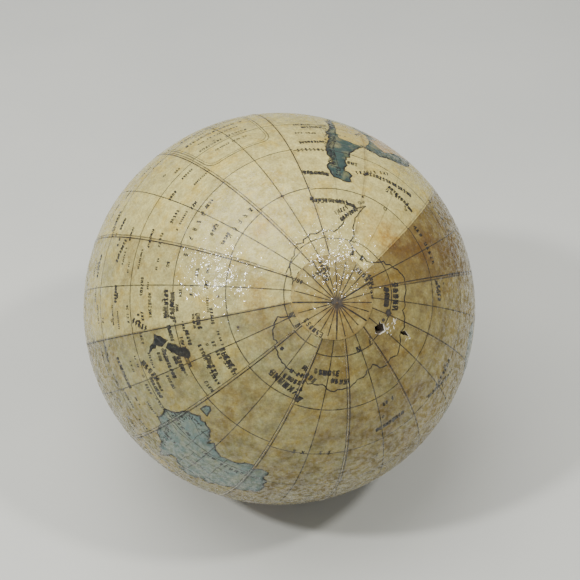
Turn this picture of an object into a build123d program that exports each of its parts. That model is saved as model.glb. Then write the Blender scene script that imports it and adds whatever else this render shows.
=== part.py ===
"""Small terrestrial globe ball, loose from its stand.

Twelve printed paper gores are pasted on a plastered papier-mache sphere. The sphere is two half shells
that butt at the equator, held together by a pasteboard hoop inside and a linen tape outside, and tacked
at the poles to wooden blocks that a wooden spindle keeps apart.

Millimetres and degrees. The origin is the ball's centre and +Z is up, as the ball lies: it rests on its
lowest point, with the south pole turned up and forward, towards -Y.
"""
import os
from math import asin, degrees

from build123d import *

# How the ball lies. Every piece is drawn about the polar axis (+Z north, +X at longitude 0), then turned.
NORTH_FROM_UP = 135.0           # the north pole points back and down, so the south pole faces up and forward
MERIDIAN_SPIN = 5.2             # turn about the polar axis, which brings longitude 0 round

# Paper covering
BALL_RADIUS = 51.0              # outer face of the paper
GORE_COUNT = 12
PAPER_THICKNESS = 0.15
PINHOLE_RADIUS = 0.35           # the gores' tips stop here, round the pin that centred them

# Body of the ball, from the outside in
PLASTER_THICKNESS = 0.9
TAPE_THICKNESS = 0.25
TAPE_WIDTH = 10.0
SHELL_THICKNESS = 2.4
HOOP_THICKNESS = 1.6
HOOP_WIDTH = 12.0

# Wooden core
BLOCK_RADIUS = 9.0
BLOCK_DEPTH = 8.0               # on the axis, from the shell's inner face to the block's flat face
SPINDLE_RADIUS = 4.5
TENON_RADIUS = 3.0
TENON_LENGTH = 5.5
TENON_CLEARANCE = 0.05          # round each tenon, for the glue
TENON_END_GAP = 0.5             # beyond each tenon, for the glue

# Tacks that hold each half shell to its block
TACK_COUNT = 4
TACK_CIRCLE_RADIUS = 5.5        # measured on the shell's outer face
TACK_LENGTH = 7.5
TACK_SHANK_RADIUS = 0.5
TACK_HEAD_RADIUS = 1.3
TACK_HEAD_THICKNESS = 0.6

# Two punctures right through the wall near the south pole, both in one gore. Each is a latitude, a longitude
# and a broken outline round that point, as (east, north) in millimetres.
PUNCTURED_GORE = 2
PUNCTURES = (
    (-75.2, 45.9, ((-1.3, -1.2), (-0.3, -0.8), (0.6, -1.3), (1.6, -0.1), (1.2, 0.8), (-0.3, 1.5), (-1.2, 0.2),
                   (-0.9, -0.5))),
    (-67.6, 36.9, ((0.0, -1.3), (0.5, -1.2), (0.5, -0.2), (0.2, 0.9), (0.0, 1.7), (-0.6, -0.2), (-0.1, -0.7))),
)

# Radii of the layers, which follow from the sizes above
PLASTER_RADIUS = BALL_RADIUS - PAPER_THICKNESS
SHELL_RADIUS = PLASTER_RADIUS - PLASTER_THICKNESS
CORE_RADIUS = SHELL_RADIUS - SHELL_THICKNESS
BLOCK_FACE = CORE_RADIUS - BLOCK_DEPTH      # height of each block's flat face above the ball's centre

NORTH, SOUTH = 1, -1


def band(inner, outer, low, high, sweep=360.0):
    """A spherical layer between two latitudes, swept round the polar axis from longitude 0."""
    with BuildSketch(Plane.XZ) as section:
        with BuildLine():
            outside = CenterArc((0, 0), outer, low, high - low)
            inside = CenterArc((0, 0), inner, low, high - low)
            Line(outside @ 0, inside @ 0)
            Line(outside @ 1, inside @ 1)
        make_face()
    return revolve(section.sketch, Axis.Z, sweep)


def belt(inner, outer, width):
    """A spherical layer that straddles the equator, as wide as a strip pasted over it."""
    half = degrees(asin(width / 2 / outer))
    return band(inner, outer, -half, half)


def slab(radius, low, high):
    """A round bar on the polar axis between two heights."""
    return Pos(0, 0, (low + high) / 2) * Cylinder(radius, abs(high - low))


def punctures():
    """Prisms that break through the whole wall at right angles to it."""
    holes = []
    for latitude, longitude, outline in PUNCTURES:
        face = Polygon(*outline, align=None)
        prism = extrude(face, BALL_RADIUS - BLOCK_FACE)
        # Its local x, y and z become east, north and outwards, and it starts level with the block's flat face.
        upright = Rot(Z=longitude) * Rot(Y=90 - latitude) * Rot(Z=90)
        holes.append(upright * Pos(0, 0, BLOCK_FACE) * prism)
    return holes


def gore(number):
    """One paper gore from pole to pole. Gore 1 starts at longitude 0 and the rest follow eastwards."""
    sweep = 360 / GORE_COUNT
    tip = degrees(asin(PINHOLE_RADIUS / BALL_RADIUS))
    paper = Rot(Z=(number - 1) * sweep) * band(PLASTER_RADIUS, BALL_RADIUS, tip - 90, 90 - tip, sweep)
    return paper - punctures() if number == PUNCTURED_GORE else paper


def seam_tape():
    return belt(SHELL_RADIUS, SHELL_RADIUS + TAPE_THICKNESS, TAPE_WIDTH)


def equator_hoop():
    return belt(CORE_RADIUS - HOOP_THICKNESS, CORE_RADIUS, HOOP_WIDTH)


def plaster_coat():
    """The closed coat of whiting and glue, thinner where it covers the tape."""
    return Sphere(PLASTER_RADIUS) - Sphere(SHELL_RADIUS) - seam_tape() - punctures()


def tacks(pole):
    """Tacks driven towards the ball's centre, with heads rounded off flush with the shell."""
    lean = degrees(asin(TACK_CIRCLE_RADIUS / SHELL_RADIUS))
    shank = slab(TACK_SHANK_RADIUS, SHELL_RADIUS - TACK_LENGTH, SHELL_RADIUS)
    head = slab(TACK_HEAD_RADIUS, SHELL_RADIUS - TACK_HEAD_THICKNESS, SHELL_RADIUS)
    tack = (shank + head) & Sphere(SHELL_RADIUS)
    upright = 0 if pole == NORTH else 180
    step = 360 / TACK_COUNT
    placed = [Rot(X=upright) * Rot(Z=step * (i + 0.5)) * Rot(Y=lean) * tack for i in range(TACK_COUNT)]
    return Compound(placed)


def half_shell(pole):
    """A moulded papier-mache hemisphere, holed for its tacks. The punctures are all in the south one."""
    low, high = (0, 90) if pole == NORTH else (-90, 0)
    shell = band(CORE_RADIUS, SHELL_RADIUS, low, high) - tacks(pole).solids()
    return shell - punctures() if pole == SOUTH else shell


def pole_block(pole):
    """A turned disc whose round face fits the shell and whose flat face takes the spindle's tenon."""
    disc = slab(BLOCK_RADIUS, pole * BLOCK_FACE, pole * CORE_RADIUS) & Sphere(CORE_RADIUS)
    bore_depth = TENON_LENGTH + TENON_END_GAP
    bore = slab(TENON_RADIUS + TENON_CLEARANCE, pole * BLOCK_FACE, pole * (BLOCK_FACE + bore_depth))
    return disc - bore - tacks(pole).solids()


def spindle():
    """The rod between the blocks, with a shoulder and a tenon at each end."""
    tenon_end = BLOCK_FACE + TENON_LENGTH
    return slab(SPINDLE_RADIUS, -BLOCK_FACE, BLOCK_FACE) + slab(TENON_RADIUS, -tenon_end, tenon_end)


def pieces():
    named = {f"gore_{number:02d}": gore(number) for number in range(1, GORE_COUNT + 1)}
    named["plaster_coat"] = plaster_coat()
    named["seam_tape"] = seam_tape()
    named["equator_hoop"] = equator_hoop()
    named["spindle"] = spindle()
    for side, pole in (("north", NORTH), ("south", SOUTH)):
        named[f"{side}_shell"] = half_shell(pole)
        named[f"{side}_pole_block"] = pole_block(pole)
        named[f"{side}_tacks"] = tacks(pole)
    return named


as_it_lies = Rot(X=-NORTH_FROM_UP) * Rot(Z=MERIDIAN_SPIN)
os.makedirs("parts", exist_ok=True)
for name, shape in pieces().items():
    export_step(as_it_lies * shape, f"parts/{name}.step")
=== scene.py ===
"""Looks of the small terrestrial globe ball, built round its CAD frame.

Each paper gore is one printed sheet: its mesh is cut along every inked line, so the engraving is part of
the sheet. The map is laid out on the flat sheet in millimetres and degrees, then wrapped on the ball.
"""
import math

import bpy
import numpy as np
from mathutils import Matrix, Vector
from mathutils.geometry import delaunay_2d_cdt
from mathutils.kdtree import KDTree


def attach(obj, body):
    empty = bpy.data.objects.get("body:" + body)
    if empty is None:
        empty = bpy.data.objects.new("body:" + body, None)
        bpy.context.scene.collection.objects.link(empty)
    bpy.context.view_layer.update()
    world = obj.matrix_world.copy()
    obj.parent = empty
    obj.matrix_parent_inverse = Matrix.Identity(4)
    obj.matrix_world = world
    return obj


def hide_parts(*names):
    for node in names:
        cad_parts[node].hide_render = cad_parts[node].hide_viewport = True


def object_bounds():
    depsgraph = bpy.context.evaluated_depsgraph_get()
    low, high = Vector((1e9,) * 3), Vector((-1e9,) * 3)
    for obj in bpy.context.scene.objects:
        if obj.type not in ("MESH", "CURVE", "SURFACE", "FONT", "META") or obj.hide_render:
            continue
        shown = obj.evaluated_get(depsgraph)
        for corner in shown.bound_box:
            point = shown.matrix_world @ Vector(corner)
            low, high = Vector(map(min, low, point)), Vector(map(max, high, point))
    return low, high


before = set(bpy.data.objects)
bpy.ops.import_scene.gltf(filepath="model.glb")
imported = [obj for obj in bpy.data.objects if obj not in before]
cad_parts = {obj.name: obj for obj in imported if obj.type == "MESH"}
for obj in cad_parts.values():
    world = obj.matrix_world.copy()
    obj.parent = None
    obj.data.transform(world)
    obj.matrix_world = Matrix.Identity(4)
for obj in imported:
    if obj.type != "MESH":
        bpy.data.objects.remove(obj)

cad_low, cad_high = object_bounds()

# ---------------------------------------------------------------- the ball, as part.py lays it
MM = 0.001
BALL_RADIUS = (cad_high[0] - cad_low[0]) / 2 / MM
PAPER_THICKNESS = 0.15
GORE_COUNT = 12
GORE_WIDTH = 360 / GORE_COUNT       # degrees of longitude
HALF_GORE = GORE_WIDTH / 2
TIP_LATITUDE = 89.6                 # the gores' tips stop just short of the poles
NORTH_FROM_UP = 135.0               # the north pole points back and down
MERIDIAN_SPIN = 5.2                 # turn about the polar axis, which brings longitude 0 round
PUNCTURES = (       # latitude, longitude, and an outline in mm east and north of there
    (-75.2, 45.9, ((-1.3, -1.2), (-0.3, -0.8), (0.6, -1.3), (1.6, -0.1),
                   (1.2, 0.8), (-0.3, 1.5), (-1.2, 0.2), (-0.9, -0.5))),
    (-67.6, 36.9, ((0.0, -1.3), (0.5, -1.2), (0.5, -0.2), (0.2, 0.9),
                   (0.0, 1.7), (-0.6, -0.2), (-0.1, -0.7))),
)

GRID_STEP = 1.1      # spacing of the sheet's plain points, mm
LINE_STEP = 1.3                             # longest straight stretch of an inked line, mm
DEGREE = math.radians(1) * BALL_RADIUS      # one degree of latitude, mm

rng = np.random.default_rng(1881)


def turned(axis, degrees):
    """A 3x3 rotation about a row axis."""
    c, s = math.cos(math.radians(degrees)), math.sin(math.radians(degrees))
    if axis == "X":
        return np.array([[1, 0, 0], [0, c, -s], [0, s, c]])
    return np.array([[c, -s, 0], [s, c, 0], [0, 0, 1]])


AS_IT_LIES = turned("X", -NORTH_FROM_UP) @ turned("Z", MERIDIAN_SPIN)


def direction(lon, lat):
    """Unit vectors from the ball's centre, before the ball is laid down."""
    lon, lat = np.radians(lon), np.radians(lat)
    return np.stack([np.cos(lat) * np.cos(lon), np.cos(lat) * np.sin(lon), np.sin(lat)], axis=-1)


def lon_lat(v):
    """Longitude and latitude of unit vectors, the reverse of direction."""
    return np.degrees(np.arctan2(v[..., 1], v[..., 0])), np.degrees(np.arcsin(np.clip(v[..., 2], -1, 1)))


# ---------------------------------------------------------------- the map: outlines as (longitude, latitude)
LANDS = {
    "africa": [
        (-6, 36), (-2, 35), (3, 37), (10, 37.3), (10.5, 34), (15, 32.3), (19, 30.4), (21, 32.8), (31, 31.5),
        (32.5, 30), (34, 27), (37, 21.5), (38.5, 18), (43, 12.5), (44, 10.5), (51.2, 11.8), (50, 8),
        (46, 2.5), (41, -2), (39, -6), (40.6, -14.5), (35, -20), (35.3, -24), (32.7, -26), (31, -29.5),
        (28, -33), (25, -34), (20, -34.8), (18.3, -34), (17, -29.5), (15, -26.5), (14.3, -22), (11.8, -17),
        (13.5, -11), (12, -5), (9, -1), (9.6, 3.5), (6, 4.3), (1.5, 6.1), (-4, 5.2), (-8, 4.4), (-13, 8.5),
        (-17, 12), (-17.3, 14.8), (-16.2, 19.5), (-17, 21.5), (-13, 27.7), (-9.8, 30), (-9, 32.5),
    ],
    "madagascar": [
        (49.3, -12), (50.4, -15.5), (49.4, -18), (47, -25), (44.5, -25), (43.3, -22), (44.4, -19.5),
        (44.3, -16.5), (47, -15),
    ],
    "eurasia": [
        (-9, 37), (-9.4, 39), (-8.8, 43), (-2, 43.4), (-1.3, 46), (-4.7, 48.4), (-1.5, 49.6), (2, 51),
        (4.5, 52.6), (8.5, 53.7), (8.2, 57), (10.6, 57.6), (10.5, 55.5), (11, 54), (14.2, 54), (18.7, 54.6),
        (21, 57), (24, 57.3), (24, 59.3), (30, 59.9), (22.8, 60), (21.3, 61), (21.5, 63), (25.4, 65),
        (22, 65.8), (17.5, 62), (18.8, 59.8), (16.4, 57), (14.2, 55.5), (12.8, 55.6), (11.2, 59), (8, 58.1),
        (5.3, 59), (5, 61.8), (10, 64), (14, 67.5), (20, 70), (26, 71.1), (31, 70.3), (41, 67.5),
        (40, 66.3), (33, 66.6), (37, 64), (40, 64.7), (44, 66), (44, 68.5), (54, 68.5), (60, 69),
        (68, 68.5), (67, 71.5), (73, 71.5), (73, 67.5), (76, 72), (81, 72.3), (87, 75), (104, 77.6),
        (113, 74), (126, 73.3), (140, 72.5), (160, 69.8), (171, 70), (180, 68.9), (190, 66), (186, 64.5),
        (180, 64.9), (177.5, 62.5), (170, 60), (163.5, 60), (162.8, 57), (160, 53), (156.7, 51), (156, 57),
        (163, 61.7), (155, 59.3), (143, 59.3), (135.3, 54.7), (141, 53), (140.3, 48.5), (135, 43.5),
        (130.8, 42.5), (127.5, 39.7), (129.4, 36.5), (126.5, 34.5), (125, 38), (121.5, 39), (121.5, 40.7),
        (118, 39), (119, 37.3), (122.4, 37), (119.2, 35), (121.8, 31.5), (121.5, 28.5), (118.5, 24.5),
        (114, 22.3), (110, 20.8), (108, 21.6), (105.7, 19), (108.8, 15.5), (109.3, 12), (106.7, 10.4),
        (105, 8.7), (105, 10.3), (102.5, 12), (100.8, 13.3), (99.3, 9.5), (103.4, 4.5), (104.2, 1.3),
        (101.3, 3), (98.2, 8.3), (98.6, 12), (97.5, 16.5), (94.3, 16), (92, 21.5), (87, 21.3), (82.2, 16.7),
        (80.2, 13.5), (79.8, 10.3), (77.5, 8), (74, 15), (72.7, 20.5), (70.3, 20.8), (68.8, 22.8),
        (66.7, 25), (61.5, 25.2), (57, 27), (54, 26.6), (50.5, 29.8), (48.3, 30), (48.5, 28.2), (50.3, 26),
        (51.5, 24.5), (54, 24.2), (56.3, 26.2), (59.8, 22.5), (57.7, 19), (55, 17.2), (52, 15.6),
        (45, 12.8), (43.3, 13), (42.5, 16.7), (39, 21.5), (35, 28), (33, 30), (34.3, 31.3), (36, 35.8),
        (36, 36.8), (32, 36), (27.8, 36.8), (26.3, 39.3), (29, 40.6), (29, 41.3), (35, 42), (41.5, 41.5),
        (38, 44.3), (39, 47), (35.3, 46.3), (33.5, 44.6), (32.5, 46), (30.8, 46.4), (28.7, 44),
        (27.8, 42.4), (28.8, 41.1), (26.4, 40.6), (22.8, 40.3), (24, 38), (23, 36.5), (21.5, 37),
        (19.5, 40.3), (19.4, 41.9), (15.3, 44), (13.6, 45.6), (12.3, 45.3), (12.4, 44.2), (14, 42.5),
        (16, 41.8), (18.4, 40.2), (16.8, 40.4), (17, 39), (15.7, 38), (15.6, 40), (12.3, 41.8),
        (10.3, 43.7), (8.8, 44.4), (6.5, 43.2), (3.2, 43.2), (3.2, 41.8), (0, 39.9), (-0.5, 38), (-2, 36.8),
        (-5.5, 36.1),
    ],
    "britain": [
        (-5.5, 50.1), (1.3, 51.2), (1.6, 52.8), (-1.5, 55), (-2, 57.5), (-3.2, 58.6), (-5, 58.5),
        (-5.6, 56.5), (-4.8, 54.8), (-3, 54), (-4.6, 53.2), (-4.8, 51.8), (-3, 51.4),
    ],
    "ireland": [(-6.2, 52.3), (-6, 54.5), (-8, 55.2), (-10, 54), (-10, 51.8)],
    "iceland": [(-22, 64), (-18.5, 63.4), (-14, 64.8), (-16, 66.4), (-22.5, 66.3), (-24, 65.5)],
    "novaya_zemlya": [(52, 71), (57, 70.8), (60, 74), (68, 76.8), (58, 75.5)],
    "honshu": [
        (131, 34), (135.5, 33.5), (139, 34.8), (140.8, 35.8), (142, 39.5), (141, 41.4), (139.8, 39),
        (136.8, 37), (132.5, 35.4),
    ],
    "hokkaido": [(140.2, 41.6), (143.2, 42), (145.4, 43.4), (141.9, 45.4), (141.3, 43.2)],
    "kyushu": [(130, 31.3), (131.5, 31.5), (131.8, 33.6), (129.8, 33.2)],
    "sakhalin": [(142, 46), (143.5, 49.3), (143, 54.2), (142.2, 50)],
    "ceylon": [(80, 9.6), (81.8, 7.5), (80.5, 5.9), (79.8, 8)],
    "sumatra": [(95.3, 5.6), (98, 4.2), (103.5, -1), (106, -3), (105.5, -5.8), (102.3, -4), (98.7, 1.7)],
    "java": [(105.3, -6.8), (111, -6.5), (114.4, -7.8), (114.3, -8.7), (108, -7.8)],
    "borneo": [
        (109, 1.8), (111.3, 1.6), (113, 3.2), (116.8, 7), (119, 5.2), (117.8, 1), (116, -3.8),
        (111.5, -3.3), (109, -0.5),
    ],
    "celebes": [
        (119.5, -5.5), (120.5, -3), (122.5, -4.5), (121, -1.5), (123.3, -0.9), (120.2, 0.3), (124.8, 1.5),
        (120.2, 1.2), (119, -2.8),
    ],
    "new_guinea": [
        (131, -0.8), (134, -0.8), (135, -3.3), (138, -1.7), (144.5, -3.9), (147.8, -6.2), (150.8, -10.3),
        (147, -9.5), (143.5, -8.7), (141, -9.1), (138, -8), (138, -6.5), (133, -4),
    ],
    "luzon": [(120.5, 18.4), (122.2, 18.4), (121.7, 14.3), (124, 12.7), (120.6, 14)],
    "mindanao": [(122, 7), (125.5, 9.6), (126.5, 7.2), (125.5, 5.8), (124, 7)],
    "australia": [
        (142.5, -10.7), (143.8, -14.4), (145.4, -15), (146.2, -18.8), (149, -20.4), (150.8, -23.5),
        (153.2, -25.5), (153.5, -28.2), (152.8, -31.5), (151.2, -34), (150, -37.3), (147.8, -38),
        (146.3, -39.1), (144.8, -38.1), (143.5, -38.8), (141, -38.1), (139.7, -36.8), (138.5, -35.7),
        (138.4, -34.6), (137.5, -35.2), (137.6, -33), (136, -34.9), (134, -32.8), (131.2, -31.5),
        (126, -32.3), (123.8, -33.9), (120, -34), (117.8, -35.1), (115.1, -34.3), (115.7, -32),
        (114.2, -28), (113.4, -25), (114, -22), (117, -20.7), (121, -19.6), (122.3, -17.3), (124.5, -16.3),
        (126.8, -14), (129.2, -15), (130.8, -12.4), (132.8, -11.3), (136.8, -12.2), (135.7, -14.8),
        (139.3, -17.5), (141, -16.8), (141.6, -13),
    ],
    "tasmania": [(144.7, -40.8), (148.2, -40.9), (147.9, -43), (146.8, -43.7), (145.6, -43)],
    "north_island": [
        (172.8, -34.5), (175.3, -36.7), (178.4, -37.7), (177, -39.5), (175.2, -41.6), (173.8, -39.3),
        (174.8, -37.5),
    ],
    "south_island": [
        (172.8, -40.6), (174.2, -41.6), (172.8, -43.6), (171, -45), (170.5, -46.2), (168.3, -46.9),
        (166.5, -45.9), (168.5, -44), (171, -42.3),
    ],
    "north_america": [
        (-168, 65.6), (-162, 66.3), (-166.5, 68.4), (-156.5, 71.3), (-141, 69.7), (-128, 70), (-115, 68.8),
        (-108, 68), (-97, 68), (-95, 71.8), (-92, 69.5), (-85, 69.5), (-82, 67), (-87, 65), (-93, 61.8),
        (-94.5, 58.8), (-92.5, 57), (-85, 55.3), (-82, 53), (-80, 51.2), (-79, 54.5), (-76.8, 57),
        (-78, 60.5), (-77.5, 62.5), (-70, 61), (-65, 58.5), (-61.5, 57), (-56, 52.5), (-60, 50.2),
        (-66.5, 50.2), (-70, 47.2), (-65, 48.8), (-64.8, 46.5), (-60.5, 46), (-66, 43.6), (-67, 44.8),
        (-70.6, 43), (-70, 41.7), (-74, 40.5), (-75.8, 37), (-75.8, 35.3), (-79, 33.2), (-81.4, 31),
        (-80.1, 26.8), (-81, 25.2), (-82.8, 28), (-84.3, 30), (-89.5, 30.2), (-94, 29.6), (-97.3, 27.5),
        (-97.7, 22.5), (-95, 18.6), (-91.5, 18.6), (-90.3, 21), (-87, 21.5), (-88.3, 18), (-88.5, 15.8),
        (-83.3, 15), (-83.6, 11), (-81, 8.8), (-77.3, 9), (-78.5, 7.5), (-83, 8.2), (-85.7, 10),
        (-87.6, 13), (-92, 14.5), (-96, 15.8), (-101, 17.4), (-105.5, 20.3), (-106, 23), (-109.5, 26.5),
        (-112.5, 30), (-114.6, 31.5), (-112, 27.5), (-109.6, 23.1), (-112.2, 25), (-115, 28),
        (-117.2, 32.7), (-120.6, 34.6), (-124.2, 40.4), (-124.3, 46.5), (-122.8, 48.7), (-127.5, 51),
        (-130.5, 54.5), (-134.5, 58), (-141, 59.9), (-148, 60.2), (-152, 59.3), (-157, 57.3), (-163, 55),
        (-158, 58), (-162, 58.8), (-165.3, 61.5), (-161.5, 64.2), (-166, 64.5),
    ],
    "greenland": [
        (-73, 78.2), (-62, 81.5), (-40, 83.4), (-20, 81.5), (-19, 76), (-22, 70.5), (-37, 65.7),
        (-43.5, 60), (-49, 61.5), (-53.5, 66.5), (-54.5, 71), (-60, 75.8),
    ],
    "baffin": [
        (-62, 66.8), (-68, 70), (-80, 73.5), (-88, 73.3), (-79, 70), (-73, 67.5), (-78, 64.5), (-66, 62),
        (-64, 63.5),
    ],
    "ellesmere": [(-62, 82.5), (-90, 81.8), (-95, 79), (-80, 76.2), (-75, 78.5)],
    "victoria": [(-105, 69), (-117, 69.5), (-118, 72.5), (-106, 73.5)],
    "cuba": [(-85, 21.9), (-80, 23.1), (-74.2, 20.2), (-77.5, 19.9), (-82, 22.5)],
    "hispaniola": [(-74.4, 18.3), (-72.8, 19.9), (-68.5, 18.6), (-71.3, 17.8)],
    "newfoundland": [(-59.3, 47.7), (-56, 51.5), (-53, 47)],
    "south_america": [
        (-77.3, 8.5), (-75, 11), (-71.8, 12.3), (-71.5, 11), (-68, 11.5), (-62, 10.7), (-60, 8.5), (-57, 6),
        (-51.5, 4.3), (-50, 0.5), (-44.5, -2.7), (-39, -3.3), (-35.3, -5.3), (-34.9, -8), (-37.2, -11.5),
        (-39, -15), (-39.3, -18), (-40.5, -24), (-41.5, -30), (-43.1, -34.4), (-48.7, -37.2),
        (-54.1, -39.8), (-58.6, -38.7), (-60.5, -38.1), (-62.5, -39.8), (-63.9, -41.2), (-65.8, -43.6),
        (-68.3, -46.8), (-68.3, -50.3), (-69.9, -52.7), (-66.7, -56.5), (-68.8, -56.8), (-72.8, -56.1),
        (-76.4, -54.6), (-76.4, -50.7), (-76.2, -46.9), (-74.8, -41.4), (-73.5, -35.8), (-70.8, -28),
        (-69.8, -18.4), (-76, -14), (-79.5, -7.5), (-81.3, -5), (-80, -2.5), (-80, 0.8), (-77.3, 4),
    ],
    "falklands": [(-61, -51.7), (-58, -51.4), (-60, -52.3)],
    "antarctica": [
        (-180, -78.3), (-165, -78), (-158, -77), (-150, -76.3), (-137, -74.8), (-125, -73.8), (-112, -74.3),
        (-102, -73), (-90, -72.8), (-80, -73.2), (-74, -71.5), (-68, -67.5), (-63, -65), (-57, -63.3),
        (-60, -65.5), (-62.5, -69), (-61, -73), (-64, -75.5), (-58, -77), (-45, -78), (-36, -78),
        (-27, -76), (-18, -73), (-11, -71.3), (0, -70.2), (12, -70.8), (22, -71), (33, -69), (40, -69.3),
        (46, -67.6), (52, -66.3), (57, -67.4), (66, -67.8), (70, -70), (76, -69.3), (80, -67.8),
        (88, -66.8), (97, -66), (106, -66.9), (115, -67), (125, -66.6), (135, -66.6), (143, -67.4),
        (150, -68.5), (158, -69.3), (166, -71), (170, -72.5), (166, -75.5), (164, -77.8), (172, -78.4),
        (180, -78.3),
    ],
}
PALE_LANDS = {"antarctica"}             # outlined and barely tinted
BLUE, ROSE, GREEN, YELLOW, PINK, SLATE, INKY = range(7)      # the washes, each a hand colourist's pot
LAND_WASHES = {
    "africa": YELLOW, "eurasia": GREEN, "north_america": YELLOW, "south_america": SLATE, "australia": BLUE,
    "tasmania": BLUE, "north_island": INKY, "south_island": INKY, "greenland": PINK, "madagascar": GREEN,
    "borneo": GREEN, "sumatra": YELLOW, "java": PINK, "britain": PINK, "honshu": PINK, "new_guinea": YELLOW,
}
REGIONS = [     # countries with a wash of their own: wash, then an outline that the coast trims
    (YELLOW, [(-69, -22), (-62, -22), (-57.7, -27), (-57.6, -33), (-60, -38.5), (-69.5, -37)]),
    (ROSE, [
        (-60, 5), (-50, 6), (-33, -5), (-38, -20), (-52, -35), (-57.6, -30.2), (-54, -26), (-58, -20),
        (-60, -14), (-65, -10), (-73, -9), (-70, -3), (-67, 1.5), (-63, 4),
    ]),
    (GREEN, [
        (-82, -3), (-75, -5), (-70, -4), (-73, -9), (-65, -10), (-60, -14), (-58, -20), (-62, -22),
        (-69, -22), (-71, -18), (-80, -14),
    ]),
    (YELLOW, [
        (-82, -1), (-75, -5), (-70, -4), (-67, 1.5), (-63, 4), (-60, 5), (-58, 9), (-72, 14), (-79, 8),
    ]),
    (PINK, [
        (-127, 49), (-95, 49), (-88, 48), (-83, 46), (-82, 42), (-75, 45), (-66, 45), (-66, 40), (-78, 30),
        (-79, 23), (-97.5, 25.5), (-103, 29), (-106.5, 31.8), (-118, 32.5), (-128, 40),
    ]),
    (GREEN, [
        (-118, 32.5), (-106.5, 31.8), (-103, 29), (-97, 25.5), (-86, 23), (-78, 7), (-95, 10), (-116, 22),
    ]),
    (ROSE, [(-141, 59), (-141, 72), (-172, 73), (-172, 50), (-150, 55)]),
    (YELLOW, [(-11, 34), (3, 42), (7.5, 43), (8, 49), (2.5, 52), (-8, 49)]),
    (ROSE, [(8, 44.5), (20, 45), (24, 48.5), (23, 52), (18.7, 56), (7, 56), (6, 50)]),
    (PINK, [(3, 56), (12, 54.9), (20, 59.5), (24, 65), (29, 73), (12, 71)]),
    (YELLOW, [(25, 35), (26, 42.5), (42, 42), (48, 39), (47, 30), (62, 22), (44, 9), (33, 28), (34.5, 35)]),
    (PINK, [(48, 39), (54, 37.5), (61, 36.5), (62, 24), (56, 26.4), (47, 30), (45, 35)]),
    (ROSE, [(62, 24), (61, 30), (71, 37), (79, 32), (88, 27.5), (97, 28), (93, 20), (82, 3), (68, 16)]),
    (YELLOW, [
        (75, 37), (83, 46), (92, 50), (106, 50), (118, 49.5), (130, 48), (132, 43), (123, 36), (126, 30),
        (111, 18), (101, 21.5), (97, 28), (88, 27.5), (79, 32),
    ]),
    (PINK, [(97, 28), (101, 21.5), (109, 21.4), (112, 12), (104, -1), (94, 12), (93, 20)]),
    (ROSE, [(25, 33), (25, 22), (38, 22), (33.4, 32)]),
    (PINK, [(-19, 28), (9, 30), (25, 30), (25, 39), (-12, 39)]),
    (GREEN, [(-20, 13), (14, 13), (14, 2), (-12, 2)]),
    (PINK, [(13, 5), (27, 5), (31, -3), (29, -12), (11, -6), (7, 0)]),
    (ROSE, [(35, 17), (44, 12), (54, 13), (41, -4), (34, -1), (33, 8)]),
    (GREEN, [(8, -6), (22, -7), (24, -18), (8, -17)]),
    (GREEN, [(31, -22), (30, -15), (42, -10.5), (43, -15), (36, -27)]),
    (BLUE, [(8, -28.5), (20, -28), (25, -25.5), (31, -22), (35, -26), (34, -38), (12, -38)]),
]
BORDERS = [
    [(129, -15), (129, -31.7)], [(129, -26), (141, -26), (141, -38)], [(138, -16.5), (138, -26)],
    [(141, -29), (149, -29), (153.4, -28.2)], [(141, -34), (143.5, -35), (147, -36), (150, -37.4)],
    [(-69.5, -17.5), (-69, -24), (-70.2, -33), (-71.8, -41), (-73, -47), (-72.2, -51.8), (-68.6, -52.3)],
    [(-65, -41), (-71.5, -41)], [(-104, 49), (-104, 37), (-94.5, 37), (-94.5, 30)],
    [(-120, 42), (-104, 42)], [(-90, 47), (-91, 36), (-89.5, 30)],
    [(60, 69), (59, 60), (58, 52), (52, 50), (50, 46)], [(141, -3), (141, -9)], [(20, 10), (20, 28)],
    [(24, -18), (25, -25.5)], [(31, 62), (33, 54), (30, 48)], [(100, 50), (98, 62), (110, 72)],
]
RIVERS = [
    [(-50, -1), (-56, -2), (-63, -3.5), (-70, -3.8), (-75, -6)],
    [(-58.4, -34), (-58.5, -27), (-55, -22), (-50, -19)],
    [(-89.5, 29.5), (-91, 34), (-89.5, 38), (-92, 44), (-95, 47)],
    [(-91, 39), (-97, 42), (-104, 47), (-111, 47)],
    [(31, 31), (31.5, 26), (33, 21), (31, 18), (33, 14), (32, 8), (32, 2)],
    [(12.5, -6), (17, -2), (23, 1.5), (26, -5)], [(6, 4.5), (6, 9), (2, 15), (-4, 16), (-9, 12)],
    [(36, -18.5), (31, -16), (25, -17.5), (22, -12)], [(47.5, 46), (45, 49), (49, 54), (44, 56), (38, 57)],
    [(67, 67), (66, 62), (74, 59), (83, 54), (88, 48)], [(83, 72), (87, 66), (91, 59), (93, 52)],
    [(127, 72), (124, 66), (129, 62), (118, 59), (107, 54)],
    [(121, 31.6), (115, 30), (107, 29.5), (100, 27), (97, 33)],
    [(118.5, 38), (112, 35), (110, 40), (104, 36)], [(89, 22), (86, 25.5), (80, 27), (78, 30)],
    [(67.5, 24), (69, 28), (73, 32), (76, 35)], [(29, 45), (20, 44), (13, 48)],
]
INLAND_WATERS = {
    "caspian": [
        (50, 46.5), (53, 46.7), (53, 44.5), (51, 44.3), (52.7, 41.5), (53.8, 37.3), (50.2, 37.5),
        (49, 40.3), (47.5, 43), (47.5, 45),
    ],
    "superior": [(-92, 46.8), (-88, 48.8), (-84.7, 46.6), (-88, 46.9)],
    "michigan": [(-88, 41.8), (-87.5, 45), (-85, 45.7), (-86.3, 42)],
    "victoria_nyanza": [(32, 0.4), (34, 0), (33, -2.5), (31.8, -2)],
}
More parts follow.
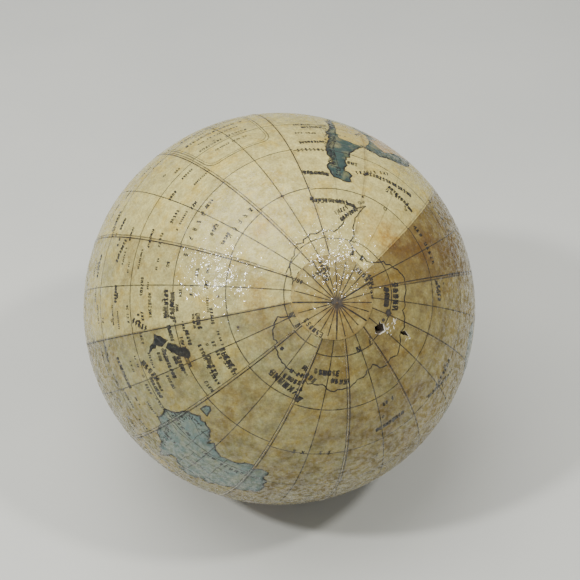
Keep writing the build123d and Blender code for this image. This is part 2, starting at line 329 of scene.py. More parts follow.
ISLETS = [
    (-155.5, 19.6), (-157.8, 21.3), (-171.8, -13.8), (-175, -21), (-149.5, -17.6), (-140, -9),
    (-128, -24.5), (178, -17.8), (165.5, -21.3), (167, -15.5), (160, -9.5), (158, 7), (151.8, 7.4),
    (144.7, 13.4), (166.5, -29), (-176.5, -44), (166.2, -50.7), (158.9, -54.6), (169, -52.5), (69.5, -49.3),
    (73.5, -53), (51.8, -46.4), (37.8, -46.9), (-37, -54.3), (-36, -55), (-26.5, -57.8), (-45.5, -60.6),
    (-59, -62.3), (-61, -62.8), (3.4, -54.4), (-12.3, -37.1), (-9.9, -40.3), (-5.7, -15.9), (-14.4, -7.9),
    (-25.7, 37.7), (-16.9, 32.7), (-16, 28.3), (-24, 15), (55.5, -21.1), (57.6, -20.2), (63.4, -19.7),
    (77.6, -37.9), (77.5, -38.7), (96.8, -12.2), (105.6, -10.5), (-90.5, -0.5), (-109.3, -27.1),
    (-78.8, -33.6), (-66, 18.2), (-77.3, 18.1), (-61, 14.6), (8.8, 40), (9.1, 42.2), (14.2, 37.5),
    (25, 35.2), (33, 35),
]

# What sets the gores apart, from longitude 0 eastwards
PRINT_SHIFTS = (0.4, 0.5, 1.1, 1.1, -0.3, -0.8, -0.9, -0.5, 0.3, -0.2, 0.1, 0.4)       # degrees north
# gores from 0 to 210 degrees east: tone and grey are partly real browning, partly painted shade on the
# ball's lower side
GORE_TONES_WITH_SHADE = (0.76, 0.78, 0.78, 0.78, 0.68, 0.62, 0.28, 0.10, 0.14, 0.12, 0.00, 0.97)  # 0 cream, 1 brown
GORE_GREYS_WITH_SHADE = (0.35, 0.35, 0.6, 0.75, 0.95, 1.1, 0.55, 0.25, 0.15, 0.15, 0.05, 0.0)     # how far gone grey
DOUBLED_SEAMS = (0, 90, 120, 150, 210, 240)     # longitudes where both printed edges show
RUBBED_GORES = (9, 10)                          # counted from 0; their meridians are nearly worn away


# ---------------------------------------------------------------- inked lines, as strips of small quads
quads = []          # (n, 4, 2) arrays of longitude and latitude, counter-clockwise
darknesses = []     # (n,) arrays, 0 to 1, or SCUFFED
SCUFFED = 2.0       # a darkness that stands for paper rubbed white
LEAST_TURN = 1e-3   # a quad with a corner that turns less than this has folded over, mm2


def mm_per_degree(lat):
    """How long one degree of longitude and one of latitude are, in mm."""
    east = DEGREE * np.maximum(np.cos(np.radians(lat)), 0.01)
    return np.stack([east, np.full(np.shape(lat), DEGREE)], axis=-1)


def stepped(points, step=LINE_STEP):
    """A polyline with points added so that no stretch is longer than step mm."""
    points = np.array(points, float)
    out = []
    for a, b in zip(points[:-1], points[1:]):
        length = np.linalg.norm((b - a) * mm_per_degree((a[1] + b[1]) / 2))
        count = max(1, math.ceil(length / step))
        out.append(a + (b - a) * np.arange(count)[:, None] / count)
    out.append(points[-1:])
    return np.vstack(out)


def rugged(points, roughness, longest=LINE_STEP):
    """A coast or river: each stretch of a polyline is halved and bent until none is over longest mm."""
    points = np.array(points, float)
    while True:
        a, b = points[:-1], points[1:]
        scale = mm_per_degree((a[:, 1] + b[:, 1]) / 2)
        span = (b - a) * scale
        long = np.linalg.norm(span, axis=1) > longest
        if not long.any():
            return points
        side = np.stack([-span[:, 1], span[:, 0]], axis=1) * rng.normal(0, roughness, (len(a), 1))
        middles = (a + b) / 2 + side / scale
        out = [points[:1]]
        for i in range(len(a)):
            if long[i]:
                out.append(middles[i:i + 1])
            out.append(b[i:i + 1])
        points = np.vstack(out)


def turns(corners):
    """Twice the signed area at each corner of some quads."""
    before, after = np.roll(corners, 1, 1), np.roll(corners, -1, 1)
    return np.cross(corners - before, after - corners)


def squared(strip, width):
    """Quads that a sharp bend has folded over become plain rectangles along the line."""
    scale = mm_per_degree(strip[..., 1].mean(axis=1))[:, None]
    folded = turns(strip * scale).min(axis=1) < LEAST_TURN
    start, end = (strip[folded, 0] + strip[folded, 3]) / 2, (strip[folded, 1] + strip[folded, 2]) / 2
    scale = scale[folded, 0]
    along = (end - start) * scale
    along /= np.linalg.norm(along, axis=1, keepdims=True) + 1e-9
    half = np.stack([-along[:, 1], along[:, 0]], axis=1) * width / 2 / scale
    strip[folded] = np.stack([start - half, end - half, end + half, start + half], axis=1)
    return strip


def line_quads(points, width, darkness, closed=False):
    """One line, width mm wide, through points given as (longitude, latitude): quads and their darkness."""
    points = np.array(points, float)
    scale = mm_per_degree(points[:, 1])
    if closed:
        ahead = np.roll(points, -1, 0) - np.roll(points, 1, 0)
    else:
        ahead = np.gradient(points, axis=0)
    ahead = ahead * scale
    ahead /= np.linalg.norm(ahead, axis=1, keepdims=True) + 1e-9
    half = np.stack([-ahead[:, 1], ahead[:, 0]], axis=1) * width / 2
    left, right = points + half / scale, points - half / scale
    if closed:
        left, right = np.vstack([left, left[:1]]), np.vstack([right, right[:1]])
    strip = squared(np.stack([right[:-1], right[1:], left[1:], left[:-1]], axis=1), width)
    if darkness == SCUFFED:
        return strip, np.full(len(strip), SCUFFED)
    return strip, np.clip(darkness * rng.uniform(0.82, 1.1, len(strip)), 0, 1)


def draw(points, width, darkness, closed=False):
    """Inks one line of the map."""
    strip, shade = line_quads(points, width, darkness, closed)
    quads.append(strip)
    darknesses.append(shade)


def placed(anchor, offsets, turn=0.0):
    """(longitude, latitude) of points given in mm east and north of an anchor, turned counter-clockwise."""
    c, s = math.cos(math.radians(turn)), math.sin(math.radians(turn))
    offsets = np.array(offsets, float)
    mm = np.stack([offsets[:, 0] * c - offsets[:, 1] * s, offsets[:, 0] * s + offsets[:, 1] * c], axis=1)
    lat = anchor[1] + mm[:, 1] / DEGREE
    return np.stack([anchor[0] + mm[:, 0] / mm_per_degree(lat)[:, 0], lat], axis=1)


SCUFFS = (      # white fibres torn up beside the punctures: longitude, latitude, reach in mm, how many
    (40.5, -73.3, 2.0, 11), (34.5, -72.6, 1.4, 5), (36.5, -66.2, 1.6, 5),
)


def draw_scuffs():
    for lon, lat, reach, count in SCUFFS:
        for _ in range(count):
            east, north = rng.uniform(-reach, reach, 2) * 0.6
            turn = rng.uniform(0, math.tau)
            length = rng.uniform(0.25, 0.8)
            ends = [(east, north), (east + math.cos(turn) * length, north + math.sin(turn) * length)]
            draw(placed((lon, lat), ends), rng.uniform(0.10, 0.18), SCUFFED)


def blot(lon, lat, radius):
    """A round spot of ink or dirt: three short thick lines across each other."""
    for turn in (10, 70, 130):
        reach = radius * rng.uniform(0.8, 1.05)
        draw(placed((lon, lat), [(-reach, 0), (reach, 0)], turn), radius * 1.2, 1.0)


GLYPH_STROKES = (           # unreadable marks that have the weight and rhythm of engraved names
    ((0.1, 0), (0.1, 1)), ((0.9, 0), (0.9, 1)), ((0.1, 0.05), (0.9, 0.95)), ((0.1, 0.95), (0.9, 0.05)),
    ((0.1, 0.95), (0.9, 0.95)), ((0.1, 0.05), (0.9, 0.05)), ((0.15, 0.5), (0.85, 0.5)), ((0.5, 0), (0.5, 1)),
    ((0.1, 0.5), (0.5, 1.0), (0.9, 0.5), (0.5, 0.0)),
)


LETTER_WIDTH = 0.62         # of a letter's height
LETTER_PITCH = 1.35         # of its width
LETTER_SLANT = 0.18         # of its height
THINNEST_STROKE = 0.2       # mm
GAP_CHANCE = 0.12           # how often a letter is left out
BOLD_WEIGHT = 0.28          # names this heavy have no gaps
SMALL_PRINT_HEIGHT = 0.5    # mm


def lettering(lon, lat, length, height, weight, darkness=1.0, turn=0.0, spacing=1.0):
    """A name's worth of unreadable marks, starting at a place and running length mm."""
    across = height * LETTER_WIDTH
    cell = across * LETTER_PITCH * spacing
    for k in range(max(1, int(length / cell))):
        if k and rng.random() < GAP_CHANCE and weight < BOLD_WEIGHT:
            continue
        for stroke in rng.choice(len(GLYPH_STROKES), 4 if weight > 0.21 else 3, replace=False):
            marks = [(k * cell + across * u + LETTER_SLANT * height * v, height * v)
                     for u, v in GLYPH_STROKES[stroke]]
            thickness = max(weight * rng.uniform(1.1, 1.7), THINNEST_STROKE)
            draw(placed((lon, lat), marks, turn), thickness, darkness)


def small_print(lon, lat, length):
    """A line of print too small for strokes: a row of short upright ticks."""
    for at in np.arange(0, length, SMALL_PRINT_HEIGHT * 0.62):
        if rng.random() < 0.14:
            continue
        lean = rng.uniform(-0.1, 0.25)
        top = SMALL_PRINT_HEIGHT * rng.uniform(0.7, 1.15)
        draw(placed((lon, lat), [(at, 0), (at + lean, top)]), SMALL_PRINT_HEIGHT * 0.4, 0.9)


EQUATOR_WEIGHT, PARALLEL_WEIGHT, MERIDIAN_WEIGHT, SEAM_WEIGHT = 0.42, 0.28, 0.27, 0.3       # mm
OVERRUN = 2                 # how far a gore's parallels are printed past its edges, degrees
NET_DARKNESS = 0.9
RUBBED_SHARE = 0.35         # what is left of a worn meridian's ink
DOUBLED_GAP = 0.52          # from a seam to the west edge's line where both lines show, mm
HIDDEN_GAP = -0.3           # elsewhere the neighbour's lap covers it
EAST_GAP = 0.1
LINE_POINTS = 150           # along a meridian


def rule_parallels():
    for lat in range(-75, 76, 15):
        weight = EQUATOR_WEIGHT if lat == 0 else PARALLEL_WEIGHT
        for gore in range(GORE_COUNT):
            west = gore * GORE_WIDTH
            lons = np.linspace(west - OVERRUN, west + GORE_WIDTH + OVERRUN, 24)
            row = np.stack([lons, np.full(24, float(lat))], axis=1)
            net_lines.append((gore, row, weight, NET_DARKNESS))


def rule_meridians():
    """The middle meridian of each gore and its two printed edges, which run together near the poles."""
    lats = np.linspace(-TIP_LATITUDE, TIP_LATITUDE, LINE_POINTS)
    parted = np.clip((83 - np.abs(lats)) / 16, 0, 1)
    for gore in range(GORE_COUNT):
        west = gore * GORE_WIDTH
        left = RUBBED_SHARE if gore in RUBBED_GORES else 1.0
        middle = np.stack([np.full(LINE_POINTS, west + HALF_GORE), lats], axis=1)
        net_lines.append((gore, middle[1:-1], MERIDIAN_WEIGHT, NET_DARKNESS * left))
        west_gap = DOUBLED_GAP if west in DOUBLED_SEAMS else HIDDEN_GAP
        sides = ((west, 1, west_gap, 0.75), (west + GORE_WIDTH, -1, EAST_GAP, 1.0))
        for edge, inwards, gap, darkness in sides:
            lons = edge + inwards * gap / mm_per_degree(lats)[:, 0] * parted
            line = np.stack([lons, lats], axis=1)[1:-1]
            net_lines.append((gore, line, SEAM_WEIGHT, darkness * left))


def rule_equator_scale():
    """A tick for each degree along the equator, longer at every fifth, and the line above them."""
    for gore in range(GORE_COUNT):
        west = gore * GORE_WIDTH
        for tick in range(30):
            lon = west + tick + 0.5
            top = 1.15 if tick % 5 else 1.9
            net_lines.append((gore, np.array([(lon, 0.25), (lon, top)]), 0.2, 0.6))
        net_lines.append((gore, np.array([(west - 1.0, 1.2), (west + 31.0, 1.2)]), 0.12, 0.6))


COAST_WEIGHT, ICE_WEIGHT, SHORE_WEIGHT, BORDER_WEIGHT, RIVER_WEIGHT = 0.46, 0.34, 0.24, 0.22, 0.15    # mm


def draw_coasts():
    for name, outline in LANDS.items():
        closed = name != "antarctica"       # its outline runs from one side of the map to the other
        ring = outline + outline[:1] if closed else outline
        coast = rugged(ring, 0.16 if closed else 0.12)
        coasts[name] = coast
        draw(coast[:-1] if closed else coast, COAST_WEIGHT if closed else ICE_WEIGHT, 1.0, closed)
        if name not in PALE_LANDS:
            sea_shading(coast)


def draw_lakes():
    for water in INLAND_WATERS.values():
        shore = rugged(water + water[:1], 0.12)
        lakes.append(shore)
        draw(shore[:-1], SHORE_WEIGHT, 0.85, True)


def draw_borders():
    for border in BORDERS:
        draw(rugged(border, 0.05), BORDER_WEIGHT, 0.75)
    for _, outline in REGIONS:
        border = rugged(outline + outline[:1], 0.06)
        dry = on_land(border)[0]
        for start in range(0, len(border) - 1, 2):
            if dry[start:start + 3].all():
                draw(border[start:start + 3], BORDER_WEIGHT, 0.75)


def draw_rivers():
    for river in RIVERS:
        draw(rugged(river, 0.2), RIVER_WEIGHT, 0.6)


def draw_islets():
    """Each a crooked ring of six points, inked so thickly that it fills itself."""
    for lon, lat in ISLETS:
        size = rng.uniform(0.22, 0.5)
        angles = np.arange(0, 360, 60) + rng.uniform(-20, 20, 6)
        reach = size * rng.uniform(0.6, 1.2, 6)
        blob = np.stack([np.cos(np.radians(angles)) * reach, np.sin(np.radians(angles)) * reach], axis=1)
        draw(placed((lon, lat), blob), size * 0.9, 0.85, True)


def sea_shading(coast):
    """Short level strokes beside a coast, on the right of the way its outline runs."""
    spaced = stepped(coast, 0.62)
    ahead = np.roll(spaced, -1, 0) - spaced
    keep = np.abs(ahead[:, 1]) * 1.4 > np.abs(ahead[:, 0]) * np.cos(np.radians(spaced[:, 1]))
    for place, step in zip(spaced[keep], ahead[keep]):
        side = 1 if step[1] > 0 else -1
        reach = rng.uniform(0.35, 0.95)
        draw(placed(place, [(0, 0), (side * reach, 0)]), 0.11, 0.5)


FINE, BOLD = (1.0, 0.75), (1.5, 1.0)      # how much a chain's strokes are widened, and how dark they are
RANGES = [      # mountain chains, hachured
    (BOLD, [(-69.8, -19), (-71, -28), (-73.2, -36), (-75.4, -44), (-75.6, -51), (-73, -55)]),
    (BOLD, [(-68.9, -20), (-70, -28), (-72.2, -36), (-73.6, -44), (-74.2, -51)]),
    (BOLD, [(-60.5, -37.6), (-54, -39.2), (-48.7, -36.6), (-43.5, -34)]),
    (FINE, [(-78, -2), (-76, -10), (-71, -16)]),
    (BOLD, [(144, -37), (149, -35), (151, -30), (148, -24), (145, -18)]),
    (FINE, [(170.5, -43.5), (168, -45.5)]), (FINE, [(-122, 49), (-114, 44), (-108, 38), (-106, 33)]),
    (FINE, [(-84, 35), (-79, 39), (-74, 43)]), (FINE, [(78, 31), (86, 28.5), (95, 29)]),
    (FINE, [(60, 66), (59, 58), (58, 52)]), (FINE, [(6, 45), (10, 47), (15, 47)]),
    (FINE, [(29, -30), (25, -32), (20, -33)]), (FINE, [(37, 12), (39, 8), (36, 2)]),
    (FINE, [(42, 43), (47, 41)]), (FINE, [(120, 60), (130, 62), (142, 64)]),
    (FINE, [(66, 35), (72, 37), (76, 42)]),
]


def draw_ranges():
    for (widened, darkness), chain in RANGES:
        crest = stepped(rugged(chain, 0.12, 2.5), 0.75)
        for place in crest:
            for side in (-1, 1):
                angle = rng.uniform(-35, 35)
                reach = rng.uniform(0.45, 0.9) * side
                stroke = placed(place, [(0.12 * side, 0), (reach, 0.15)], angle)
                draw(stroke, rng.uniform(0.14, 0.3) * widened, darkness)


def darken_islands():
    """New Zealand is engraved so closely that it prints nearly black: a thick line every 0.42 degrees."""
    for name in ("north_island", "south_island"):
        ring = np.array(LANDS[name], float)
        low, high = ring.min(0), ring.max(0)
        for lat in np.arange(low[1], high[1], 0.42):
            lons = np.arange(low[0], high[0], 0.25)
            row = np.stack([lons, np.full(len(lons), lat)], axis=1)
            dry = row[inside(row, ring)]
            if len(dry) > 1:
                draw([dry[0], dry[-1]], rng.uniform(0.2, 0.4), 0.95)


PANEL_WEST, PANEL_EAST, PANEL_SOUTH, PANEL_NORTH = 241.5, 266.0, -38.5, -9.0
PANEL_CORNER = 3.2                              # radius, degrees
PANEL_RULES = ((0.0, 0.3), (0.75, 0.16))        # how far in, degrees, and how wide, mm
PANEL_PRINT = (                                 # latitude, where it starts, length and height in mm
    (-14, 245, 16, 1.5), (-17.5, 249, 8, 0.8), (-21, 244, 17, 1.3),
    (-24.5, 246.5, 12, 0.8), (-29, 244.5, 15, 1.0), (-33, 248, 9, 0.7),
)


def rounded_panel(gap):
    """The panel's outline, gap degrees inside its edge."""
    outline = []
    corners = ((PANEL_EAST, PANEL_SOUTH, -90), (PANEL_EAST, PANEL_NORTH, 0),
               (PANEL_WEST, PANEL_NORTH, 90), (PANEL_WEST, PANEL_SOUTH, 180))
    for lon, lat, start in corners:
        middle_lon = lon + (-1 if lon == PANEL_EAST else 1) * (PANEL_CORNER + gap)
        middle_lat = lat + (1 if lat == PANEL_SOUTH else -1) * (PANEL_CORNER + gap)
        for angle in np.radians(np.arange(start, start + 91, 30)):
            outline.append((middle_lon + PANEL_CORNER * math.cos(angle),
                            middle_lat + PANEL_CORNER * math.sin(angle)))
    return outline


def draw_cartouche():
    """The maker's panel, with unreadable print, in the empty ocean west of South America."""
    for gap, weight in PANEL_RULES:
        outline = rounded_panel(gap)
        draw(stepped(outline + outline[:1])[:-1], weight, 0.8, True)
    for lat, start, length, height in PANEL_PRINT:
        lettering(start, lat, length, height, 0.2 * height, 0.85)


NAMES = [       # longitude, latitude, length and height in mm, weight, turn, letter spacing
    (2, -77.2, 5.6, 1.35, 0.34, 0, 1.0), (96, -71.2, 7.0, 1.25, 0.3, 0, 1.0),
    (119, -65.2, 5.6, 1.1, 0.26, 0, 1.0), (120, -67.2, 5.0, 1.0, 0.24, 0, 1.0),
    (126, -79.0, 3.2, 1.2, 0.3, 0, 1.0), (338, -81.0, 3.6, 1.1, 0.26, 0, 1.0),
    (60, -76.5, 7.5, 1.5, 0.22, 0, 2.6), (150, -77.0, 7.0, 1.5, 0.22, 0, 2.4),
    (215, -79.5, 8.0, 1.5, 0.22, 0, 2.4), (300, -79.0, 6.0, 1.4, 0.22, 0, 2.2),
    (269, -64.6, 10.0, 1.2, 0.2, 0, 1.0), (283, -68.4, 5.0, 1.0, 0.2, 35, 1.0),
    (270, -55.0, 6.0, 0.9, 0.17, 0, 1.0), (296, -53.0, 11.0, 1.0, 0.18, 30, 1.3),
    (311, -54.5, 8.5, 1.3, 0.2, 8, 1.2), (332, -57.8, 11.0, 1.1, 0.2, 0, 1.3),
    (1.0, -58.3, 3.6, 1.0, 0.2, 0, 1.0), (65.5, -57.6, 4.6, 1.0, 0.22, 0, 1.0),
    (63.5, -50.4, 6.4, 1.1, 0.24, 0, 1.0), (34, -46.4, 9.0, 1.1, 0.24, 0, 1.2),
    (36, -42.6, 8.0, 0.9, 0.18, 0, 1.0), (160, -51.0, 6.0, 1.0, 0.2, 0, 1.0),
    (161, -54.8, 5.0, 0.9, 0.18, 0, 1.0), (181, -45.5, 6.0, 1.0, 0.18, 0, 1.0),
    (176, -33.5, 8.0, 0.9, 0.16, 0, 1.0), (184, -38.0, 6.0, 0.9, 0.16, 0, 1.0),
    (272, -45.6, 9.0, 1.1, 0.18, 0, 1.1), (275, -36.6, 6.0, 0.8, 0.16, 0, 1.0),
    (276, -31.0, 5.0, 0.8, 0.15, 0, 1.0), (330, -42.0, 12.0, 1.3, 0.2, 0, 1.6),
    (206, -48.0, 14.0, 1.3, 0.18, 0, 2.0), (220, -58.0, 12.0, 1.2, 0.18, 0, 2.0),
    (96, -46.0, 13.0, 1.3, 0.18, 0, 2.0), (120, -29.2, 9.0, 1.1, 0.2, 0, 1.5),
    (131, -22.0, 5.0, 0.8, 0.16, 0, 1.0), (143.5, -24.0, 4.0, 0.8, 0.16, 0, 1.0),
    (143, -31.5, 4.4, 0.8, 0.16, 0, 1.0), (131.5, -29.5, 4.6, 0.8, 0.16, 0, 1.0),
    (20, -24.0, 6.0, 0.9, 0.18, 0, 1.0), (-62, -31.0, 3.6, 0.8, 0.16, 60, 1.0),
    (-60, -10.0, 10.0, 1.2, 0.2, 0, 1.6), (12, 18.0, 20.0, 1.5, 0.24, 0, 2.0),
    (80, 58.0, 18.0, 1.5, 0.22, 0, 2.2), (-112, 55.0, 14.0, 1.3, 0.2, 0, 2.0),
    (-104, 40.0, 14.0, 1.3, 0.2, 0, 1.8), (95, 34.0, 13.0, 1.4, 0.22, 0, 2.0),
    (-40, 28.0, 16.0, 1.4, 0.2, 0, 2.4), (-160, 22.0, 20.0, 1.5, 0.2, 0, 2.6),
    (62, -20.0, 16.0, 1.4, 0.2, 0, 2.4), (-30, -22.0, 14.0, 1.4, 0.2, 0, 2.4),
    (-48, 70.0, 6.0, 1.1, 0.2, 60, 1.2),
]
BOLD_NAMES = [  # longitude, latitude, length and height in mm, turn
    (182.5, -45, 7, 1.1, -5), (183.5, -43.5, 6.5, 1.1, 0), (181.5, -36, 6, 1.3, 60),
    (164, -34.5, 7, 1.5, 25), (164.5, -22, 8.5, 1.1, 5), (162, -40, 7.5, 1.0, 0),
    (163, -43.5, 4.5, 1.1, -5), (155, -51.5, 6, 1.3, -5), (152.5, -56.5, 7, 1.3, 0),
    (116.5, -62.5, 10.5, 1.7, -10), (113, -68.5, 4.5, 1.2, -15), (90.5, -68.5, 4.5, 1.2, -10),
    (173.5, -15, 6, 0.9, -5), (211.5, -15, 6, 1.0, 5), (212, -19.5, 4, 1.0, -5),
    (202, -22.5, 6.5, 0.9, -15), (270, -54.5, 7, 1.1, -10), (300.5, -52, 14, 1.1, 12),
    (311.5, -52.5, 9, 1.0, -10), (292, -49.5, 3.5, 1.1, 0), (278.5, -33, 6, 0.8, 10),
    (274.5, -42, 7, 0.9, 5), (268.5, -64, 11, 1.0, -5), (287.5, -70, 6.5, 0.9, 45), (358, -74.5, 8, 1.6, 0),
    (40, -43.5, 8, 1.0, -20), (67, -50.5, 7, 1.1, 5), (3.5, -57.5, 4.5, 1.2, -5), (198, -12, 6, 1.0, 0),
    (190, -24, 5, 0.9, 0), (158, -32, 6, 1.0, 0), (176, -52.5, 5, 1.0, 0),
]
BLOTS = (       # longitude, latitude, radius in mm
    (28.2, -75.2, 0.8), (36.8, -76.0, 0.45), (22.0, -76.6, 0.35), (255, -60, 0.35), (222, -52, 0.3),
    (190, -58, 0.35), (172, -62, 0.3), (172, -40, 0.4), (146, -69.6, 0.5), (300, -60.5, 0.3),
)
SOUTH_SEA_NAMES = ((166, -42.5), (169, -38.0), (171, -48.5), (176, -43.5), (163, -46.0))
PRINTED_LANDS = ("africa", "eurasia", "north_america", "south_america", "australia")


def draw_names():
    for lon, lat, length, height, weight, turn, spacing in NAMES:
        lettering(lon, lat, length, height, weight, 1.0, turn, spacing)
    for lon, lat, length, height, turn in BOLD_NAMES:
        lettering(lon, lat, length, height, 0.3, 1.0, turn)
    lettering(0.6, -50.5, 8.5, 0.8, 0.16, 0.8, 88)      # runs up beside the first meridian


def draw_blots():
    for lon, lat, radius in BLOTS:
        blot(lon, lat, radius)


def fill_pacific():
    """Scattered small names, closer together in the west."""
    for lon in np.arange(150, 236, 8.0):
        chance = 0.62 if lon < 200 else 0.3
        for lat in np.arange(-56, 30, 4.4):
            if rng.random() < chance:
                height = rng.uniform(0.55, 0.95)
                start, level = lon + rng.uniform(0, 4), lat + rng.uniform(-1.5, 1.5)
                lettering(start, level, rng.uniform(2.0, 5.5), height, 0.22 * height)
    for lon, lat in SOUTH_SEA_NAMES:
        lettering(lon, lat, rng.uniform(3.0, 5.0), 0.9, 0.24, 0.95)


def fill_lands():
    """Rows of small print over the larger lands."""
    for name in PRINTED_LANDS:
        corners = np.array(LANDS[name], float)
        low, high = corners.min(0), corners.max(0)
        for lat in np.arange(low[1] + 3, high[1] - 2, 4.6):
            spacing = 9.0 / max(math.cos(math.radians(lat)), 0.3)
            for lon in np.arange(low[0] + 3, high[0] - 3, spacing):
                place = np.array([[lon + rng.uniform(-2, 2), lat + rng.uniform(-1, 1)]])
                if inside(place, corners)[0] and rng.random() < 0.7:
                    small_print(place[0, 0], place[0, 1], rng.uniform(1.6, 3.8))


def inside(places, ring):
    """Which of the places lie inside a closed ring, both as (longitude, latitude)."""
    x, y = places[:, 0], places[:, 1]
    found = np.zeros(len(places), bool)
    for (ax, ay), (bx, by) in zip(ring, np.roll(ring, -1, 0)):
        crosses = (ay > y) != (by > y)
        if crosses.any():
            where = ax + (y - ay) * (bx - ax) / (by - ay if by != ay else 1e-9)
            found ^= crosses & (x < where)
    return found


def on_land(places):
    """Which places are dry land, which of those are only outlined, and each one's wash."""
    lon = (places[:, 0] + 180) % 360 - 180
    land, pale = np.zeros(len(places), bool), np.zeros(len(places), bool)
    wash = np.full(len(places), ROSE)
    for name, coast in coasts.items():
        ring = coast
        if name == "antarctica":
            ring = np.vstack([coast, [(180.0, -91.0), (-180.0, -91.0)]])
        low, high = ring.min(0) - 0.1, ring.max(0) + 0.1
        for lap in (0, 360):
            near = (lon + lap > low[0]) & (lon + lap < high[0])
            near &= (places[:, 1] > low[1]) & (places[:, 1] < high[1])
            if not near.any():
                continue
            found = np.zeros(len(places), bool)
            found[near] = inside(np.stack([lon[near] + lap, places[near, 1]], axis=1), ring)
            land |= found
            wash[found] = LAND_WASHES.get(name, ROSE)
            if name in PALE_LANDS:
                pale |= found
    for shore in lakes:
        land &= ~inside(np.stack([lon, places[:, 1]], axis=1), shore)
    return land, pale, wash


coasts, lakes = {}, []      # the ragged outlines, as drawn
net_lines = []              # gore, points, width and darkness: printed on one gore, so they step at seams
rule_parallels()
rule_meridians()
rule_equator_scale()
draw_coasts()
draw_lakes()
draw_borders()
draw_rivers()
draw_islets()
draw_ranges()
darken_islands()
draw_cartouche()
draw_names()
draw_scuffs()
draw_blots()
fill_pacific()
fill_lands()
all_quads = np.concatenate(quads)
all_darkness = np.concatenate(darknesses)


STAINS = (      # longitude, latitude, radius in mm, how brown, how sooty
    (315, -68, 5.0, 0.55, 0.0), (235, -63, 4.0, 0.4, 0.0), (55, -68, 4.0, 0.6, 0.05),
    (168, -45, 3.2, 0.7, 0.1), (345, -57, 7.0, 0.8, 0.1), (352, -44, 8.0, 0.6, 0.08),
    (338, -66, 5.0, 0.7, 0.1), (28.2, -75.2, 0.8, 0.6, 0.9), (36.8, -76, 0.6, 0.5, 0.9),
    (49, -76.5, 1.2, 0.3, 0.5), (111, -87.9, 3.0, 0.5, 0.3), (111, -87.9, 1.2, 0.3, 0.9),
    (290, 88.6, 1.2, 0.3, 0.9), (20, -82.5, 2.2, 0.5, 0.05), (60, -50, 8.0, 0.25, 0.08),
    (10, -60, 7.0, 0.2, 0.1), (232, -63, 1.9, 0.65, 0.0), (323, -68, 4.5, 0.5, 0.0),
    (188, -68, 6.5, 0.5, 0.0), (165, -72, 5.0, 0.4, 0.0), (90, -85, 7.0, 0.4, 0.0),
    (200, -30, 9.0, 0.2, 0.0), (285, -40, 8.0, 0.18, 0.0), (255, -60, 1.3, 0.7, 0.3),
    (222, -52, 0.9, 0.6, 0.5), (190, -58, 1.2, 0.5, 0.3), (172, -62, 0.9, 0.5, 0.6),
    (140, -52, 5.0, 0.3, 0.06), (100, -55, 6.0, 0.2, 0.1), (30, 10, 10.0, 0.3, 0.1),
    (120, 40, 10.0, 0.35, 0.1), (250, 35, 11.0, 0.25, 0.0), (320, 20, 9.0, 0.3, 0.1),
    (75, -5, 7.0, 0.3, 0.1), (180, 5, 7.0, 0.2, 0.0), (300, 62, 6.0, 0.4, 0.1), (20, 70, 6.0, 0.3, 0.1),
)
PIGMENTS = (    # in the order of the pots
    (0.115, 0.20, 0.205), (0.46, 0.29, 0.15), (0.29, 0.34, 0.14), (0.50, 0.38, 0.10), (0.46, 0.25, 0.17),
    (0.042, 0.075, 0.066), (0.02, 0.03, 0.027),
)


def washes(places):
    """A wash colour for every place, and how thick it lies: none on the sea or the ice."""
    land, pale, pot = on_land(places)
    lon = (places[:, 0] + 180) % 360 - 180
    flat = np.stack([lon, places[:, 1]], axis=1)
    for wash, outline in REGIONS:
        pot[inside(flat, outline) & land & ~pale] = wash
    thickness = np.where(pot >= SLATE, 1.35, 1.0)
    return np.array(PIGMENTS)[pot], np.where(land & ~pale, thickness, 0.0)


def stained(v):
    """How brown and how sooty the paper is there."""
    brown, sooty = np.zeros(len(v)), np.zeros(len(v))
    for lon, lat, radius, warm, dark in STAINS:
        away = np.linalg.norm(v - direction(lon, lat), axis=1) * BALL_RADIUS / radius
        spot = np.exp(-(away ** 2) * (1.6 if radius > 1.5 else 2.5))
        brown += warm * spot
        sooty += dark * spot
    return np.clip(brown, 0, 1), np.clip(sooty, 0, 1)


# ---------------------------------------------------------------- the sheets
LAP = 0.35              # how far each gore's east edge laps over its neighbour, mm
LAP_RISE = 0.10         # how much that edge stands up, mm
LAP_RUN = 1.1           # over what width it climbs, mm
SHIFT_FADE = 7.0        # degrees from the pole within which a print's shift dies away
SOUTH_DISC = (111, -87.9)   # where the middle of the south polar disc was pasted, longitude and latitude
NORTH_DISC = (290, 88.6)
DISC_RADIUS = 11.0 * DEGREE
DISC_TURN = 10.0            # how far its printed meridians are out of line, degrees
DISC_TRIM = 1.6 * DEGREE    # its star is printed this far from its middle,
TRIM_HEADING = 249          # which lies towards this longitude
DISC_NAMES = (              # longitude and degrees from the star, letters, height in mm, turn from level
    (311, 9.6, 8, 1.25, 0), (262, 6.0, 6, 1.0, 90), (236, 8.2, 5, 1.1, 0), (222, 10.2, 4, 1.0, 90),
    (124, 8.6, 6, 1.1, 0),
)
DISC_LINES = 24             # printed meridians on a disc
BOLD_DISC_LINES = (2, 6, 12, 16, 22)
DISC_LETTER_PITCH = 0.82    # of a letter's height
DISC_GAP = 0.05             # a disc stands this far off the gores, mm
DISC_TONE = 0.74            # 0 cream, 1 brown
CROWN = 0.03                # how much the middle of a gore stands up, mm
HOLE_GROWTH = 1.06          # the paper is torn back this much further than the hole under it

RIM_CLEARANCE = 0.35        # from a sheet's rim to its nearest plain point, mm
GRID_JITTER = 0.12          # of the grid's step
SHEET_END = 90.2 * DEGREE   # print beyond this is off the paper, mm
MERGING = 1e-4              # points closer than this become one, mm
UNDERSIDE_STEP = 3.0        # spacing and clearance of the pasted side's points, mm
UNDERSIDE_CLEARANCE = 1.2
EDGE_STAIN = 1.6            # how far dirt and browning reach in from a sheet's edge, mm
FARTHEST_SHORE = 6.0        # mm

